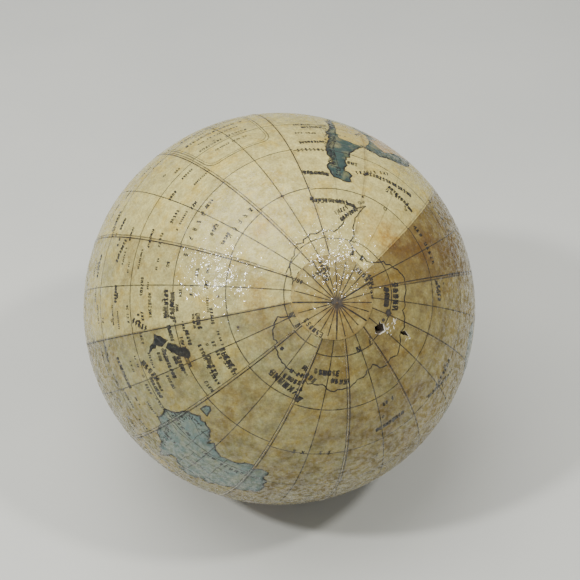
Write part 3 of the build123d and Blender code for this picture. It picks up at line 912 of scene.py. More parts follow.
ISLAND_WIDTH = 0.44         # each half gore's share of the baking map across
WALL_SHARE = 0.4            # how far a sheet's cut edge reaches outside its outline on the map, mm
MAP_MARGIN = 0.012          # beside each half gore, share of the map
MAP_FOOT, MAP_TALL = 0.01, 0.97                     # where the halves start, and how tall they are
DISC_MAP_WIDE, DISC_MAP_TALL = 0.9, 0.98            # a disc has the map to itself
BACK_LEFT, BACK_WIDE = 0.93, 0.055                  # the strip that the plain undersides share
BACK_FOOT, BACK_TALL = 0.02, 0.95


def half_width(lat):
    return math.radians(HALF_GORE) * BALL_RADIUS * np.cos(np.radians(lat))


def lumps(v):
    """Hand-made unevenness and cockles of the pasted paper, mm."""
    x, y, z = v[..., 0], v[..., 1], v[..., 2]
    broad = (np.sin(5.1 * x + 2.0 * z + 0.4) * np.sin(4.3 * y - 1.1)
             + np.sin(7.9 * z + 3.0 * x) * np.sin(6.7 * x - 5.0 * y))
    fine = (np.sin(23 * x + 9 * z) * np.sin(19 * y - 14 * z + 1.3)
            + 0.6 * np.sin(41 * z + 17 * y) * np.sin(37 * x + 2))
    return 0.07 + 0.025 * broad + 0.013 * fine


class Gore:
    """One gore, flat as it was printed. x is mm east of its middle meridian, y mm north of the equator."""

    def __init__(self, index):
        self.index = index
        self.middle = index * GORE_WIDTH + HALF_GORE
        self.name = f"gore_sheet_{index + 1:02d}"
        self.tone, self.grey = GORE_TONES_WITH_SHADE[index], GORE_GREYS_WITH_SHADE[index]

    def shift(self, lat):
        """How far north its print is off, in degrees. It dies away where the tips meet."""
        return PRINT_SHIFTS[self.index] * (1 - np.exp(-(((90 - np.abs(lat)) / SHIFT_FADE) ** 2)))

    def flatten(self, places, shifted=True):
        """Flat mm for (longitude, latitude). Edges and holes aren't shifted with the print."""
        lon = (places[..., 0] - self.middle + 180) % 360 - 180
        lat = places[..., 1]
        x = np.radians(lon) * np.cos(np.radians(lat)) * BALL_RADIUS
        y = (lat + (self.shift(lat) if shifted else 0)) * DEGREE
        return np.stack([x, y], axis=-1)

    def places(self, xy):
        """(longitude, latitude) on the ball for flat mm."""
        lat = xy[..., 1] / DEGREE
        across = np.maximum(np.cos(np.radians(lat)), 0.004) * BALL_RADIUS
        return np.stack([self.middle + np.degrees(xy[..., 0] / across), lat], axis=-1)

    def printed_places(self, xy):
        """The places that the print shows there."""
        found = self.places(xy)
        found[:, 1] -= self.shift(found[:, 1])
        return found

    def stand(self, v, xy):
        """How far the paper stands off the ball: its lumps, its raised east edge and its crown, mm."""
        lat = xy[..., 1] / DEGREE
        climb = np.clip(1 - (half_width(lat) - xy[..., 0]) / LAP_RUN, 0, 1.3)
        fade = np.clip((90 - np.abs(lat)) / 14, 0, 1)
        crown = np.cos(np.clip(xy[..., 0] / np.maximum(half_width(lat), 0.05), -1.2, 1.2) * math.pi / 2)
        return lumps(v) + LAP_RISE * fade * climb ** 2 * (3 - 2 * climb / 1.3) / 2 + CROWN * fade * crown

    def rim(self):
        """The cut outline, counter-clockwise from its south tip."""
        count = 140
        lats = np.linspace(-TIP_LATITUDE, TIP_LATITUDE, count)
        lap = LAP * np.clip((90 - np.abs(lats)) / 10, 0, 1) * rng.uniform(0.8, 1.2, count)
        east = np.stack([half_width(lats) + lap, lats * DEGREE], axis=1)
        west = np.stack([-half_width(lats[::-1]), lats[::-1] * DEGREE], axis=1)
        return np.vstack([east, west])

    def from_edge(self, xy):
        """How far inside its edge, mm."""
        return half_width(xy[:, 1] / DEGREE) - np.abs(xy[:, 0])

    def holes(self):
        """The punctures in this gore's paper, counter-clockwise."""
        found = []
        for lat, lon, outline in PUNCTURES:
            if not self.index * GORE_WIDTH < lon < (self.index + 1) * GORE_WIDTH:
                continue
            torn = []
            for a, b in zip(outline, outline[1:] + outline[:1]):
                for part in (0, 0.5):
                    east, north = a[0] + (b[0] - a[0]) * part, a[1] + (b[1] - a[1]) * part
                    grown = HOLE_GROWTH * rng.uniform(0.97, 1.1)
                    torn.append((east * grown, north * grown))
            found.append(self.flatten(placed((lon, lat), torn), shifted=False))
        return found

    def printed_quads(self):
        """What is printed on it: quads on the flat sheet and their darkness."""
        centres = all_quads.mean(axis=1)
        away = np.abs((centres[:, 0] - self.middle + 180) % 360 - 180)
        near = away * mm_per_degree(centres[:, 1])[:, 0] < half_width(centres[:, 1]) + LAP + 0.6
        shapes, shades = [self.flatten(all_quads[near])], [all_darkness[near]]
        for owner, line, weight, darkness in net_lines:
            if owner == self.index:
                strip, shade = line_quads(line, weight, darkness)
                along_meridian = abs(line[0, 1] - line[-1, 1]) >= 60
                shapes.append(self.flatten(strip, shifted=not along_meridian))
                shades.append(shade)
        return np.concatenate(shapes), np.concatenate(shades)

    def grid(self, step, margin):
        """Plain points in staggered rows, at least margin from the edge."""
        points = []
        for row, y in enumerate(np.arange(-TIP_LATITUDE * DEGREE + 0.5, TIP_LATITUDE * DEGREE, step)):
            reach = half_width(y / DEGREE) - margin
            if reach > 0:
                xs = np.arange(-reach + (row % 2) * step / 2, reach, step)
                points.append(np.stack([xs, np.full(len(xs), y)], axis=1))
        return np.concatenate(points)

    def fold(self):
        """A line that no triangle crosses, where the baking map is split."""
        return [(-half_width(0.0) - 1, 0.0), (half_width(0.0) + 1, 0.0)]

    def map_place(self, at, north):
        """Where points of the sheet lie on the baking map: the southern half, the northern beside it."""
        tall = math.radians(TIP_LATITUDE) * BALL_RADIUS + 2 * WALL_SHARE
        wide = 2 * (half_width(0) + LAP + 2 * WALL_SHARE)
        u = MAP_MARGIN + ISLAND_WIDTH * (at[:, 0] / wide + 0.5)
        u += np.where(north, MAP_MARGIN + ISLAND_WIDTH, 0.0)
        height = np.where(north, at[:, 1], at[:, 1] + tall)
        return u, MAP_FOOT + MAP_TALL * (height + 0.5 * WALL_SHARE) / (tall + WALL_SHARE)

    def size(self):
        """A box round the flat sheet, mm."""
        return 2 * half_width(0.0) + 2, 2 * TIP_LATITUDE * DEGREE


class PolarDisc:
    """A round paper over the gores' tips, pasted a little off the pole. x and y are mm from its middle."""

    def __init__(self, name, centre):
        self.name = name
        self.middle = direction(*centre)
        self.east = np.cross((0.0, 0.0, 1.0), self.middle)
        self.east /= np.linalg.norm(self.east)
        self.north = np.cross(self.middle, self.east)
        self.up = -1 if centre[1] < 0 else 1
        self.trim = self.along(self.heading(TRIM_HEADING)) * DISC_TRIM
        self.tone, self.grey = DISC_TONE, 0.0

    def heading(self, lon):
        """The flat direction in which a meridian of the ball leaves the middle, in radians."""
        away = direction(lon, 0.0)
        return math.atan2(away @ self.north, away @ self.east)

    @staticmethod
    def along(angle):
        """A flat step of 1 mm in a direction."""
        return np.array([math.cos(angle), math.sin(angle)])

    def places(self, xy):
        """(longitude, latitude) on the ball for flat mm, which keep their distance from the middle."""
        reach = np.linalg.norm(xy, axis=-1, keepdims=True)
        angle = reach / BALL_RADIUS
        along = (xy[..., :1] * self.east + xy[..., 1:] * self.north) / np.maximum(reach, 1e-9)
        v = self.middle * np.cos(angle) + along * np.sin(angle)
        return np.stack(lon_lat(v), axis=-1)

    printed_places = places         # its print isn't shifted

    def stand(self, v, xy):
        return lumps(v) + PAPER_THICKNESS + DISC_GAP

    def rim(self):
        angles = np.radians(np.arange(0, 360, 3))
        reach = DISC_RADIUS * (1 + 0.012 * np.sin(3 * angles + 1) + rng.uniform(-0.006, 0.006, len(angles)))
        return np.stack([np.cos(angles) * reach, np.sin(angles) * reach], axis=1) + self.trim

    def from_edge(self, xy):
        return DISC_RADIUS - np.linalg.norm(xy - self.trim, axis=1)

    def holes(self):
        return []

    def meridians(self):
        found = []
        for step in range(DISC_LINES):
            way = self.along(self.heading(DISC_TURN + 15 * step))
            edge = way @ self.trim + math.sqrt(DISC_RADIUS ** 2 - DISC_TRIM ** 2 + (way @ self.trim) ** 2)
            bold = step in BOLD_DISC_LINES
            reach = edge * (0.99 if bold else rng.uniform(0.86, 0.99))
            line = [way * r for r in np.linspace(0.25, reach, 9)]
            found.append(flat_line(line, 0.40 if bold else 0.27, 1.0 if bold else 0.9))
        return found

    def letters(self):
        """Level names bend round the star, so each letter has its own foot. Turned ones run straight."""
        found = []
        for lon, out, count, height, turn in DISC_NAMES:
            heading = self.heading(lon)
            size = (LETTER_WIDTH * height, height)
            for k in range(count):
                run = k * DISC_LETTER_PITCH * height
                bend = 0 if turn else self.up * run / (out * DEGREE)
                foot = self.along(heading + bend) * out * DEGREE
                lean = heading + self.up * math.pi / 2 + math.radians(turn) + bend
                ahead, up = self.along(lean), self.along(lean + math.pi / 2)
                for stroke in rng.choice(len(GLYPH_STROKES), 4, replace=False):
                    marks = np.array(GLYPH_STROKES[stroke]) * size
                    if turn:
                        marks = marks + (run, 0)
                    found.append(flat_line(foot + marks[:, :1] * ahead + marks[:, 1:] * up, 0.25, 1.0))
        return found

    def printed_quads(self):
        found = self.meridians() + self.letters()
        return np.concatenate([quad for quad, _ in found]), np.concatenate([shade for _, shade in found])

    def grid(self, step, margin):
        side = np.arange(-DISC_RADIUS, DISC_RADIUS, step)
        points = np.stack(np.meshgrid(side, side), axis=-1).reshape(-1, 2)
        return points[np.linalg.norm(points, axis=1) < DISC_RADIUS - margin] + self.trim

    def fold(self):
        return [(-0.2, 0.0), (0.2, 0.0)]

    def map_place(self, at, north):
        wide = 2 * (DISC_RADIUS * 1.03 + WALL_SHARE)
        level = (at - self.trim) / wide + 0.5
        return MAP_FOOT + DISC_MAP_WIDE * level[:, 0], MAP_FOOT + DISC_MAP_TALL * level[:, 1]

    def size(self):
        return 2 * DISC_RADIUS + 1, 2 * DISC_RADIUS + 1


def flat_line(points, width, darkness):
    """An inked line on a sheet's own flat mm, as line_quads makes one on the ball."""
    degrees = np.array(points, float) / DEGREE
    strip, shade = line_quads(degrees, width, darkness)
    return strip * DEGREE, shade


def wrapped(sheet, xy, lift=0.0):
    """Points of the flat sheet, laid on the ball, in mm from its centre as the ball lies."""
    places = sheet.places(xy)
    v = direction(places[..., 0], places[..., 1])
    return (v * (BALL_RADIUS + sheet.stand(v, xy) + lift)[..., None]) @ AS_IT_LIES.T


def outward(sheet, xy):
    """The sheet's surface directions there, from its own relief."""
    step = 0.04
    east = wrapped(sheet, xy + [step, 0]) - wrapped(sheet, xy - [step, 0])
    north = wrapped(sheet, xy + [0, step]) - wrapped(sheet, xy - [0, step])
    normal = np.cross(east, north)
    return normal / np.linalg.norm(normal, axis=-1, keepdims=True)


def mosaic(sheet):
    """Cuts the flat sheet along every inked line. Gives points, triangles and the ink on each triangle.

    Every outline has a number: 0 is the rim, then the holes, then the inked quads. A triangle is paper
    where the rim holds it and no hole does, and it takes the darkest ink that lies on it.
    """
    rim = sheet.rim()
    points, rings, ink = [rim], [list(range(len(rim)))], [0.0]
    total = len(rim)
    for hole in sheet.holes():
        points.append(hole)
        rings.append(list(range(total, total + len(hole))))
        ink.append(-1.0)
        total += len(hole)
    corners, shade = sheet.printed_quads()
    whole = (turns(corners).min(axis=1) > LEAST_TURN) & (np.abs(corners[..., 1]).max(axis=1) < SHEET_END)
    corners, shade = corners[whole], shade[whole]
    points.append(corners.reshape(-1, 2))
    first = total + 4 * np.arange(len(corners))
    rings.extend((first[:, None] + np.arange(4)).tolist())
    ink.extend(shade.tolist())
    total += 4 * len(corners)
    plain = sheet.grid(GRID_STEP, RIM_CLEARANCE)
    points.append(plain + rng.uniform(-GRID_JITTER, GRID_JITTER, plain.shape) * GRID_STEP)
    total += len(plain)
    points.append(np.array(sheet.fold()))
    flat = [Vector(p) for p in np.concatenate(points).tolist()]
    found, _, faces, _, _, sources = delaunay_2d_cdt(flat, [(total, total + 1)], rings, 1, MERGING, True)
    triangles, inks = [], []
    for face, ids in zip(faces, sources):
        marks = [ink[i] for i in ids]
        if 0 in ids and min(marks) >= 0:
            triangles.append(face)
            inks.append(max(marks))
    used = sorted({i for face in triangles for i in face})
    renumber = {old: new for new, old in enumerate(used)}
    xy = np.array([found[i] for i in used])
    return xy, np.array([[renumber[i] for i in face] for face in triangles]), np.array(inks)


def rim_loops(triangles):
    """The outline of the sheet and of its holes, each a list of point numbers with paper on its left."""
    sides = np.concatenate([triangles[:, [0, 1]], triangles[:, [1, 2]], triangles[:, [2, 0]]])
    there = {(int(a), int(b)) for a, b in sides}
    after = {a: b for a, b in there if (b, a) not in there}
    loops = []
    while after:
        start, at = next(iter(after.items()))
        loop = [start]
        del after[start]
        while at != start:
            loop.append(at)
            at = after.pop(at)
        loops.append(loop)
    return loops


def underside(sheet, xy, loops, low_of, first):
    """Coarse triangles for the pasted side, on the rim's lower points. Gives new points and faces."""
    sizes = [np.ptp(xy[loop][:, 1]) for loop in loops]
    outer = int(np.argmax(sizes))
    ordered = [loops[outer]] + [loop[::-1] for k, loop in enumerate(loops) if k != outer]
    points, rings, owner = [], [], []
    for loop in ordered:
        rings.append(list(range(len(points), len(points) + len(loop))))
        points.extend(xy[loop].tolist())
        owner.extend(low_of[i] for i in loop)
    points.extend(sheet.grid(UNDERSIDE_STEP, UNDERSIDE_CLEARANCE).tolist())
    flat = [Vector(p) for p in points]
    found, _, triangles, point_sources, _, face_sources = delaunay_2d_cdt(flat, [], rings, 1, 1e-6, True)
    number, extra = {}, []
    for i, sources in enumerate(point_sources):
        known = [source for source in sources if source < len(owner)]
        if known:
            number[i] = owner[known[0]]
        else:
            number[i] = first + len(extra)
            extra.append(tuple(found[i]))
    faces = [tuple(number[i] for i in reversed(triangle))
             for triangle, ids in zip(triangles, face_sources) if list(ids) == [0]]
    return np.array(extra), faces


def paper_sheet(sheet):
    """One printed sheet as a closed mesh: the printed side, its cut edges and its pasted side."""
    xy, triangles, ink = mosaic(sheet)
    loops = rim_loops(triangles)
    rims = [i for loop in loops for i in loop]
    low_of = {p: len(xy) + k for k, p in enumerate(rims)}
    walls = []
    for loop in loops:
        for a, b in zip(loop, loop[1:] + loop[:1]):
            walls.append((b, a, low_of[a], low_of[b]))
    inner_xy, inner_faces = underside(sheet, xy, loops, low_of, len(xy) + len(rims))
    flat = np.vstack([xy, xy[rims], inner_xy])
    depth = np.zeros(len(flat))
    depth[len(xy):] = -PAPER_THICKNESS
    verts = wrapped(sheet, flat, depth) * MM
    mesh = bpy.data.meshes.new(sheet.name)
    mesh.from_pydata(verts.tolist(), [], triangles.tolist() + walls + inner_faces)
    mesh.update()
    print_on(mesh, sheet, flat, triangles, ink)
    lay_out_and_shade(mesh, sheet, flat, len(triangles), len(walls))
    piece = bpy.data.objects.new(mesh.name, mesh)
    bpy.context.scene.collection.objects.link(piece)
    mesh.materials.append(printed_paper)
    return piece


def print_on(mesh, sheet, flat, triangles, ink):
    """Stores what the material reads: ink, wash and bare paper by face, stains and tone by point."""
    n_top, n_all = len(triangles), len(mesh.polygons)
    places = sheet.printed_places(flat)
    v = direction(places[:, 0], places[:, 1])
    brown, sooty = stained(v)
    tint = np.ones((n_all, 4))
    wash, shades, bare = np.zeros(n_all), np.zeros(n_all), np.ones(n_all)
    tint[:n_top, :3], wash[:n_top] = washes(places[triangles].mean(axis=1))
    shades[:n_top] = np.where(ink == SCUFFED, 0, ink)
    bare[:n_top] = ink == SCUFFED
    edge = np.clip(1 - sheet.from_edge(flat) / EDGE_STAIN, 0, 1) ** 2
    put(mesh, "ink", "FACE", shades)
    put(mesh, "wash", "FACE", wash)
    put(mesh, "bare", "FACE", bare)
    put(mesh, "shore", "POINT", shore_distance(v))
    put(mesh, "brown", "POINT", np.clip(brown + 0.22 * edge, 0, 1))
    put(mesh, "sooty", "POINT", np.clip(sooty + 0.10 * edge, 0, 1))
    put(mesh, "tone", "POINT", sheet_tone(sheet, places))
    put(mesh, "grey", "POINT", np.full(len(flat), sheet.grey))
    layer = mesh.attributes.new("tint", "FLOAT_COLOR", "FACE")
    layer.data.foreach_set("color", tint.ravel())


def put(mesh, name, domain, values):
    layer = mesh.attributes.new(name, "FLOAT", domain)
    layer.data.foreach_set("value", np.asarray(values, np.float32))


def sheet_tone(sheet, places):
    """0 is cream, 1 is brown: the sheet's tone, partly painted shade on some gores, faintly banded and
    browner near the South Pole.
    """
    lat = places[:, 1]
    bands = 0.05 * np.sin(lat / 11.0 + sheet.grey * 20)
    return np.clip(sheet.tone + bands + 0.1 * np.clip((-70 - lat) / 20, 0, 1), 0, 1)


def shore_tree():
    shore = np.vstack([direction(c[:, 0], c[:, 1]) for c in coasts.values()])
    tree = KDTree(len(shore))
    for i, p in enumerate(shore.tolist()):
        tree.insert(p, i)
    tree.balance()
    return tree


def shore_distance(v):
    """How far each place is from the nearest inked coast, in mm, up to FARTHEST_SHORE."""
    return [min(coast_points.find(p)[2] * BALL_RADIUS, FARTHEST_SHORE) for p in v.tolist()]


coast_points = shore_tree()


def lay_out_and_shade(mesh, sheet, flat, n_top, n_wall):
    """Makes the baking map, and shades the printed side from its relief, however finely ink cuts it."""
    corners = np.empty(len(mesh.loops), np.int32)
    mesh.loops.foreach_get("vertex_index", corners)
    starts = np.empty(len(mesh.polygons), np.int32)
    totals = np.empty(len(mesh.polygons), np.int32)
    mesh.polygons.foreach_get("loop_start", starts)
    mesh.polygons.foreach_get("loop_total", totals)
    face_of = np.repeat(np.arange(len(mesh.polygons)), totals)
    at = flat[corners].copy()
    centre = np.zeros((len(mesh.polygons), 2))
    np.add.at(centre, face_of, at)
    centre /= totals[:, None]
    for s in starts[n_top:n_top + n_wall]:
        along = at[s] - at[s + 1]
        out = np.array([along[1], -along[0]]) / (np.linalg.norm(along) + 1e-9) * WALL_SHARE
        at[s + 2] -= out
        at[s + 3] -= out
    u, v = sheet.map_place(at, centre[face_of, 1] > 0)
    below = face_of >= n_top + n_wall
    wide, tall = sheet.size()
    u[below] = BACK_LEFT + BACK_WIDE * (at[below, 0] / wide + 0.5)
    v[below] = BACK_FOOT + BACK_TALL * (at[below, 1] / tall + 0.5)
    layer = mesh.uv_layers.new(name="OFBake")
    layer.data.foreach_set("uv", np.stack([u, v], axis=1).astype(np.float32).ravel())

    mesh.polygons.foreach_set("use_smooth", [True] * len(mesh.polygons))
    flat_normals = np.empty(len(mesh.polygons) * 3)
    mesh.polygons.foreach_get("normal", flat_normals)
    normals = flat_normals.reshape(-1, 3)[face_of]
    printed_side = face_of < n_top
    normals[printed_side] = outward(sheet, flat)[corners[printed_side]]
    mesh.normals_split_custom_set(normals.tolist())


# ---------------------------------------------------------------- materials
MIX_COLOUR_A, MIX_COLOUR_B, MIX_COLOUR_RESULT = 6, 7, 2     # a Mix node's colour sockets share their names

CREAM = (0.60, 0.53, 0.20)
TAN = (0.19, 0.137, 0.038)
YELLOWED = (1.0, 0.88, 0.5)
GREYED = (0.70, 0.79, 0.96)
MOTTLED = (0.62, 0.58, 0.5)
GRAINED = (0.55, 0.5, 0.42)
FIBRE = (0.80, 0.76, 0.62)
INK = (0.012, 0.011, 0.010)
SHORE_WASH = (0.34, 0.46, 0.54)
BROWN_STAIN = (0.72, 0.50, 0.24)
FOXING = (0.62, 0.42, 0.24)
# near black: real soot and dirt on the paper, and painted shade down the holes in the plaster
SOOT_AND_SHADE = (0.06, 0.05, 0.04)
BARE_PAPER = (0.74, 0.70, 0.58)


class Nodes:
    """A small helper that builds a material's node graph."""

    def __init__(self, name):
        self.material = bpy.data.materials.new(name)
        self.material.use_nodes = True
        self.tree = self.material.node_tree
        self.shader = self.tree.nodes["Principled BSDF"]
        self.place = self.add("ShaderNodeTexCoord").outputs["Object"]

    def add(self, kind, **settings):
        node = self.tree.nodes.new(kind)
        for key, value in settings.items():
            setattr(node, key, value)
        return node

    def link(self, source, target):
        """Joins a socket to another, or sets a number or colour on it."""
        if isinstance(source, (int, float)):
            target.default_value = source
        elif isinstance(source, tuple):
            target.default_value = (*source, 1.0)[:4]
        else:
            self.tree.links.new(source, target)

    def noise(self, size, detail, roughness, stretch=None):
        """Noise whose features are about size mm, from 0 to 1."""
        node = self.add("ShaderNodeTexNoise")
        node.inputs["Scale"].default_value = 1.0 / (size * MM)
        node.inputs["Detail"].default_value = detail
        node.inputs["Roughness"].default_value = roughness
        source = self.place
        if stretch:
            mapping = self.add("ShaderNodeMapping")
            mapping.inputs["Scale"].default_value = stretch
            self.link(source, mapping.inputs["Vector"])
            source = mapping.outputs["Vector"]
        self.link(source, node.inputs["Vector"])
        return node.outputs["Fac"]

    def range(self, value, low, high, to_low=0.0, to_high=1.0):
        node = self.add("ShaderNodeMapRange", interpolation_type="SMOOTHSTEP")
        self.link(value, node.inputs["Value"])
        for key, number in (("From Min", low), ("From Max", high), ("To Min", to_low), ("To Max", to_high)):
            node.inputs[key].default_value = number
        return node.outputs["Result"]

    def math(self, operation, a, b=0.0):
        node = self.add("ShaderNodeMath", operation=operation)
        self.link(a, node.inputs[0])
        self.link(b, node.inputs[1])
        return node.outputs[0]

    def mix(self, amount, a, b, blend="MIX"):
        node = self.add("ShaderNodeMix", data_type="RGBA", blend_type=blend, clamp_factor=True)
        self.link(amount, node.inputs["Factor"])
        self.link(a, node.inputs[MIX_COLOUR_A])
        self.link(b, node.inputs[MIX_COLOUR_B])
        return node.outputs[MIX_COLOUR_RESULT]

    def tinted(self, amount, colour, tint):
        """The colour multiplied by a tint, as far as amount says."""
        return self.mix(amount, colour, self.mix(1.0, colour, tint, "MULTIPLY"))

    def attribute(self, name, colour=False):
        node = self.add("ShaderNodeAttribute", attribute_name=name)
        return node.outputs["Color" if colour else "Fac"]

    def bump(self, height, strength, distance, after=None):
        node = self.add("ShaderNodeBump")
        node.inputs["Strength"].default_value = strength
        node.inputs["Distance"].default_value = distance * MM
        self.link(height, node.inputs["Height"])
        if after is not None:
            self.link(after, node.inputs["Normal"])
        return node.outputs["Normal"]


def make_printed_paper():
    """Old varnished map paper: cream to tan, hand-washed land, engraved ink, foxing and a cracked gloss."""
    n = Nodes("printed_paper")
    broad, cloudy = n.noise(14, 4, 0.6), n.noise(3.2, 5, 0.62)
    grain, speck = n.noise(0.5, 3, 0.65), n.noise(0.95, 2, 0.5)
    patchy, mottle = n.noise(5.5, 4, 0.65), n.noise(1.5, 3, 0.6)
    fibre = n.noise(0.5, 3, 0.6, stretch=(1.0, 0.22, 1.0))

    # The bare paper
    # the tone and grey attributes carry painted shade on the gores from 0 to 210 degrees east, besides real
    # browning and greying
    tone = n.math("ADD", n.attribute("tone"), n.range(broad, 0.3, 0.7, -0.10, 0.10))
    tone = n.math("ADD", tone, n.range(cloudy, 0.32, 0.68, -0.17, 0.17))
    colour = n.mix(tone, CREAM, TAN)
    colour = n.tinted(n.range(patchy, 0.5, 0.68, 0.0, 0.75), colour, YELLOWED)
    greyed = n.math("MULTIPLY", n.attribute("grey"), n.range(patchy, 0.3, 0.55, 1.3, 0.5))
    colour = n.tinted(greyed, colour, GREYED)
    colour = n.tinted(n.range(mottle, 0.35, 0.68, 0.0, 0.5), colour, MOTTLED)

    # Watercolour on the land and along the coasts
    thick = n.math("MULTIPLY", n.attribute("wash"), n.range(cloudy, 0.3, 0.7, 0.5, 0.85))
    colour = n.mix(thick, colour, n.attribute("tint", True))
    pooled = n.range(n.attribute("shore"), 0.15, 1.8, 1.0, 0.0)
    pooled = n.math("MULTIPLY", pooled, n.range(speck, 0.3, 0.7, 0.35, 0.8))
    pooled = n.math("MULTIPLY", pooled, n.math("GREATER_THAN", n.attribute("wash"), 0.8))
    colour = n.tinted(pooled, colour, SHORE_WASH)

    # Stains, foxing and grain
    brown = n.math("MULTIPLY", n.attribute("brown"), n.range(cloudy, 0.3, 0.68, 0.35, 1.25))
    colour = n.tinted(brown, colour, BROWN_STAIN)
    foxing = n.math("MULTIPLY", n.range(speck, 0.67, 0.76), n.range(broad, 0.42, 0.6))
    colour = n.tinted(n.math("MULTIPLY", foxing, 0.45), colour, FOXING)
    colour = n.tinted(n.range(grain, 0.3, 0.7, 0.0, 0.55), colour, GRAINED)
    colour = n.mix(n.range(fibre, 0.62, 0.78, 0.0, 0.18), colour, FIBRE)

    # Ink, dirt and torn fibres
    worn = n.range(n.noise(2.1, 4, 0.7), 0.30, 0.5, 0.65, 1.0)
    colour = n.mix(n.math("MULTIPLY", n.attribute("ink"), worn), colour, INK)
    dirt = n.math("MULTIPLY", n.attribute("sooty"), n.range(speck, 0.3, 0.62, 0.3, 1.2))
    flecks = n.math("MULTIPLY", n.range(n.noise(0.55, 2, 0.5), 0.735, 0.79), 0.5)
    colour = n.mix(n.math("MAXIMUM", dirt, flecks), colour, SOOT_AND_SHADE)
    colour = n.mix(n.attribute("bare"), colour, BARE_PAPER)
    n.link(colour, n.shader.inputs["Base Color"])

    # The paper's own surface, and the pebbled varnish over it
    n.link(n.range(cloudy, 0.3, 0.7, 0.5, 0.66), n.shader.inputs["Roughness"])
    n.shader.inputs["Specular IOR Level"].default_value = 0.22
    rough = n.bump(n.noise(0.28, 4, 0.65), 0.5, 0.02)
    n.link(n.bump(n.noise(1.1, 3, 0.6), 0.55, 0.05, rough), n.shader.inputs["Normal"])
    n.link(n.range(n.noise(1.0, 2, 0.5), 0.42, 0.52, 0.10, 1.0), n.shader.inputs["Coat Weight"])
    n.shader.inputs["Coat Roughness"].default_value = 0.13
    n.shader.inputs["Coat IOR"].default_value = 1.45
    varnish = n.bump(n.noise(1.2, 2, 0.5), 1.0, 0.28)
    n.link(n.bump(n.noise(3.4, 2, 0.5), 1.0, 0.4, varnish), n.shader.inputs["Coat Normal"])
    return n.material


printed_paper = make_printed_paper()


def two_tone(name, light, dark, size, roughness, bump_size, bump_depth,
             stretch=None, metallic=0.0, skin=None):
    """A plain material with its own mottling and relief. Below skin, mm from the centre, painted shade
    darkens it.
    """
    n = Nodes(name)
    mottled = n.noise(size, 5, 0.62, stretch)
    fine = n.noise(size / 6, 3, 0.6, stretch)
    colour = n.mix(n.range(mottled, 0.3, 0.7), light, dark)
    colour = n.mix(n.range(fine, 0.45, 0.75, 0.0, 0.35), colour, dark)
    if skin:
        length = n.add("ShaderNodeVectorMath", operation="LENGTH")
        n.link(n.place, length.inputs[0])
        # painted shade: the deeper below skin, the nearer black, as down a puncture's walls
        painted_hole_shade = n.range(length.outputs["Value"], (skin - 0.16) * MM, (skin - 0.01) * MM, 0.95, 0.0)
        colour = n.mix(painted_hole_shade, colour, SOOT_AND_SHADE)
    n.link(colour, n.shader.inputs["Base Color"])
    n.link(n.range(mottled, 0.3, 0.7, roughness - 0.08, roughness + 0.08), n.shader.inputs["Roughness"])
    n.shader.inputs["Metallic"].default_value = metallic
    n.link(n.bump(n.noise(bump_size, 4, 0.65, stretch), 0.7, bump_depth), n.shader.inputs["Normal"])
    return n.material


GRAIN_ALONG_Z = (1.0, 1.0, 0.12)
WEFT_ALONG_Y = (1.0, 0.25, 1.0)
CAD_LOOKS = {
    # the plaster turns near black below the paper: painted shade in the punctures
    "plaster": two_tone("aged_plaster", (0.74, 0.71, 0.62), (0.52, 0.46, 0.36), size=2.5, roughness=0.85,
                        bump_size=0.4, bump_depth=0.05, skin=BALL_RADIUS - PAPER_THICKNESS),
    "linen": two_tone("linen_tape", (0.62, 0.55, 0.40), (0.40, 0.33, 0.22), size=1.2, roughness=0.9,
                      bump_size=0.5, bump_depth=0.08, stretch=WEFT_ALONG_Y),
    "pasteboard": two_tone("pasteboard", (0.42, 0.35, 0.25), (0.27, 0.21, 0.14), size=2.0, roughness=0.9,
                           bump_size=0.5, bump_depth=0.06),
    "papier_mache": two_tone("papier_mache", (0.33, 0.27, 0.19), (0.16, 0.125, 0.085), size=2.2,
                             roughness=0.92, bump_size=0.8, bump_depth=0.15),
    "wood": two_tone("old_softwood", (0.46, 0.30, 0.15), (0.26, 0.15, 0.07), size=3.0, roughness=0.7,
                     bump_size=0.6, bump_depth=0.05, stretch=GRAIN_ALONG_Z),
    "tack_steel": two_tone("rusty_tack", (0.36, 0.31, 0.27), (0.20, 0.10, 0.05), size=0.7, roughness=0.45,
                           bump_size=0.2, bump_depth=0.02, metallic=0.8),
}
NODE_LOOKS = {
    "plaster_coat": "plaster", "seam_tape": "linen", "equator_hoop": "pasteboard",
    "north_shell": "papier_mache", "south_shell": "papier_mache", "spindle": "wood",
    "north_pole_block": "wood", "south_pole_block": "wood",
    "north_tacks": "tack_steel", "south_tacks": "tack_steel",
}
for node, look in NODE_LOOKS.items():
    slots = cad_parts[node].data.materials
    if len(slots) == 0:
        slots.append(CAD_LOOKS[look])
    for i in range(len(slots)):
        slots[i] = CAD_LOOKS[look]

for gore in range(GORE_COUNT):
    piece = paper_sheet(Gore(gore))
    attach(piece, "root")
    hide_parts(f"gore_{gore + 1:02d}")
for disc in (PolarDisc("south_polar_disc", SOUTH_DISC), PolarDisc("north_polar_disc", NORTH_DISC)):
    piece = paper_sheet(disc)
    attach(piece, "root")


# ---------------------------------------------------------------- floor, light and camera
def make_floor():
    n = Nodes("pale_table")
    colour = n.mix(n.noise(60, 3, 0.5), (0.50, 0.51, 0.48), (0.58, 0.58, 0.54))
    n.link(colour, n.shader.inputs["Base Color"])
    n.link(n.range(n.noise(4, 3, 0.5), 0.3, 0.7, 0.55, 0.65), n.shader.inputs["Roughness"])
    size = 30 * BALL_RADIUS * MM
    mesh = bpy.data.meshes.new("floor")
    low = cad_low[2]
    corners = [(-size, -size, low), (size, -size, low), (size, size, low), (-size, size, low)]
    mesh.from_pydata(corners, [], [(0, 1, 2, 3)])
    mesh.materials.append(n.material)
    piece = bpy.data.objects.new("floor", mesh)
    bpy.context.scene.collection.objects.link(piece)


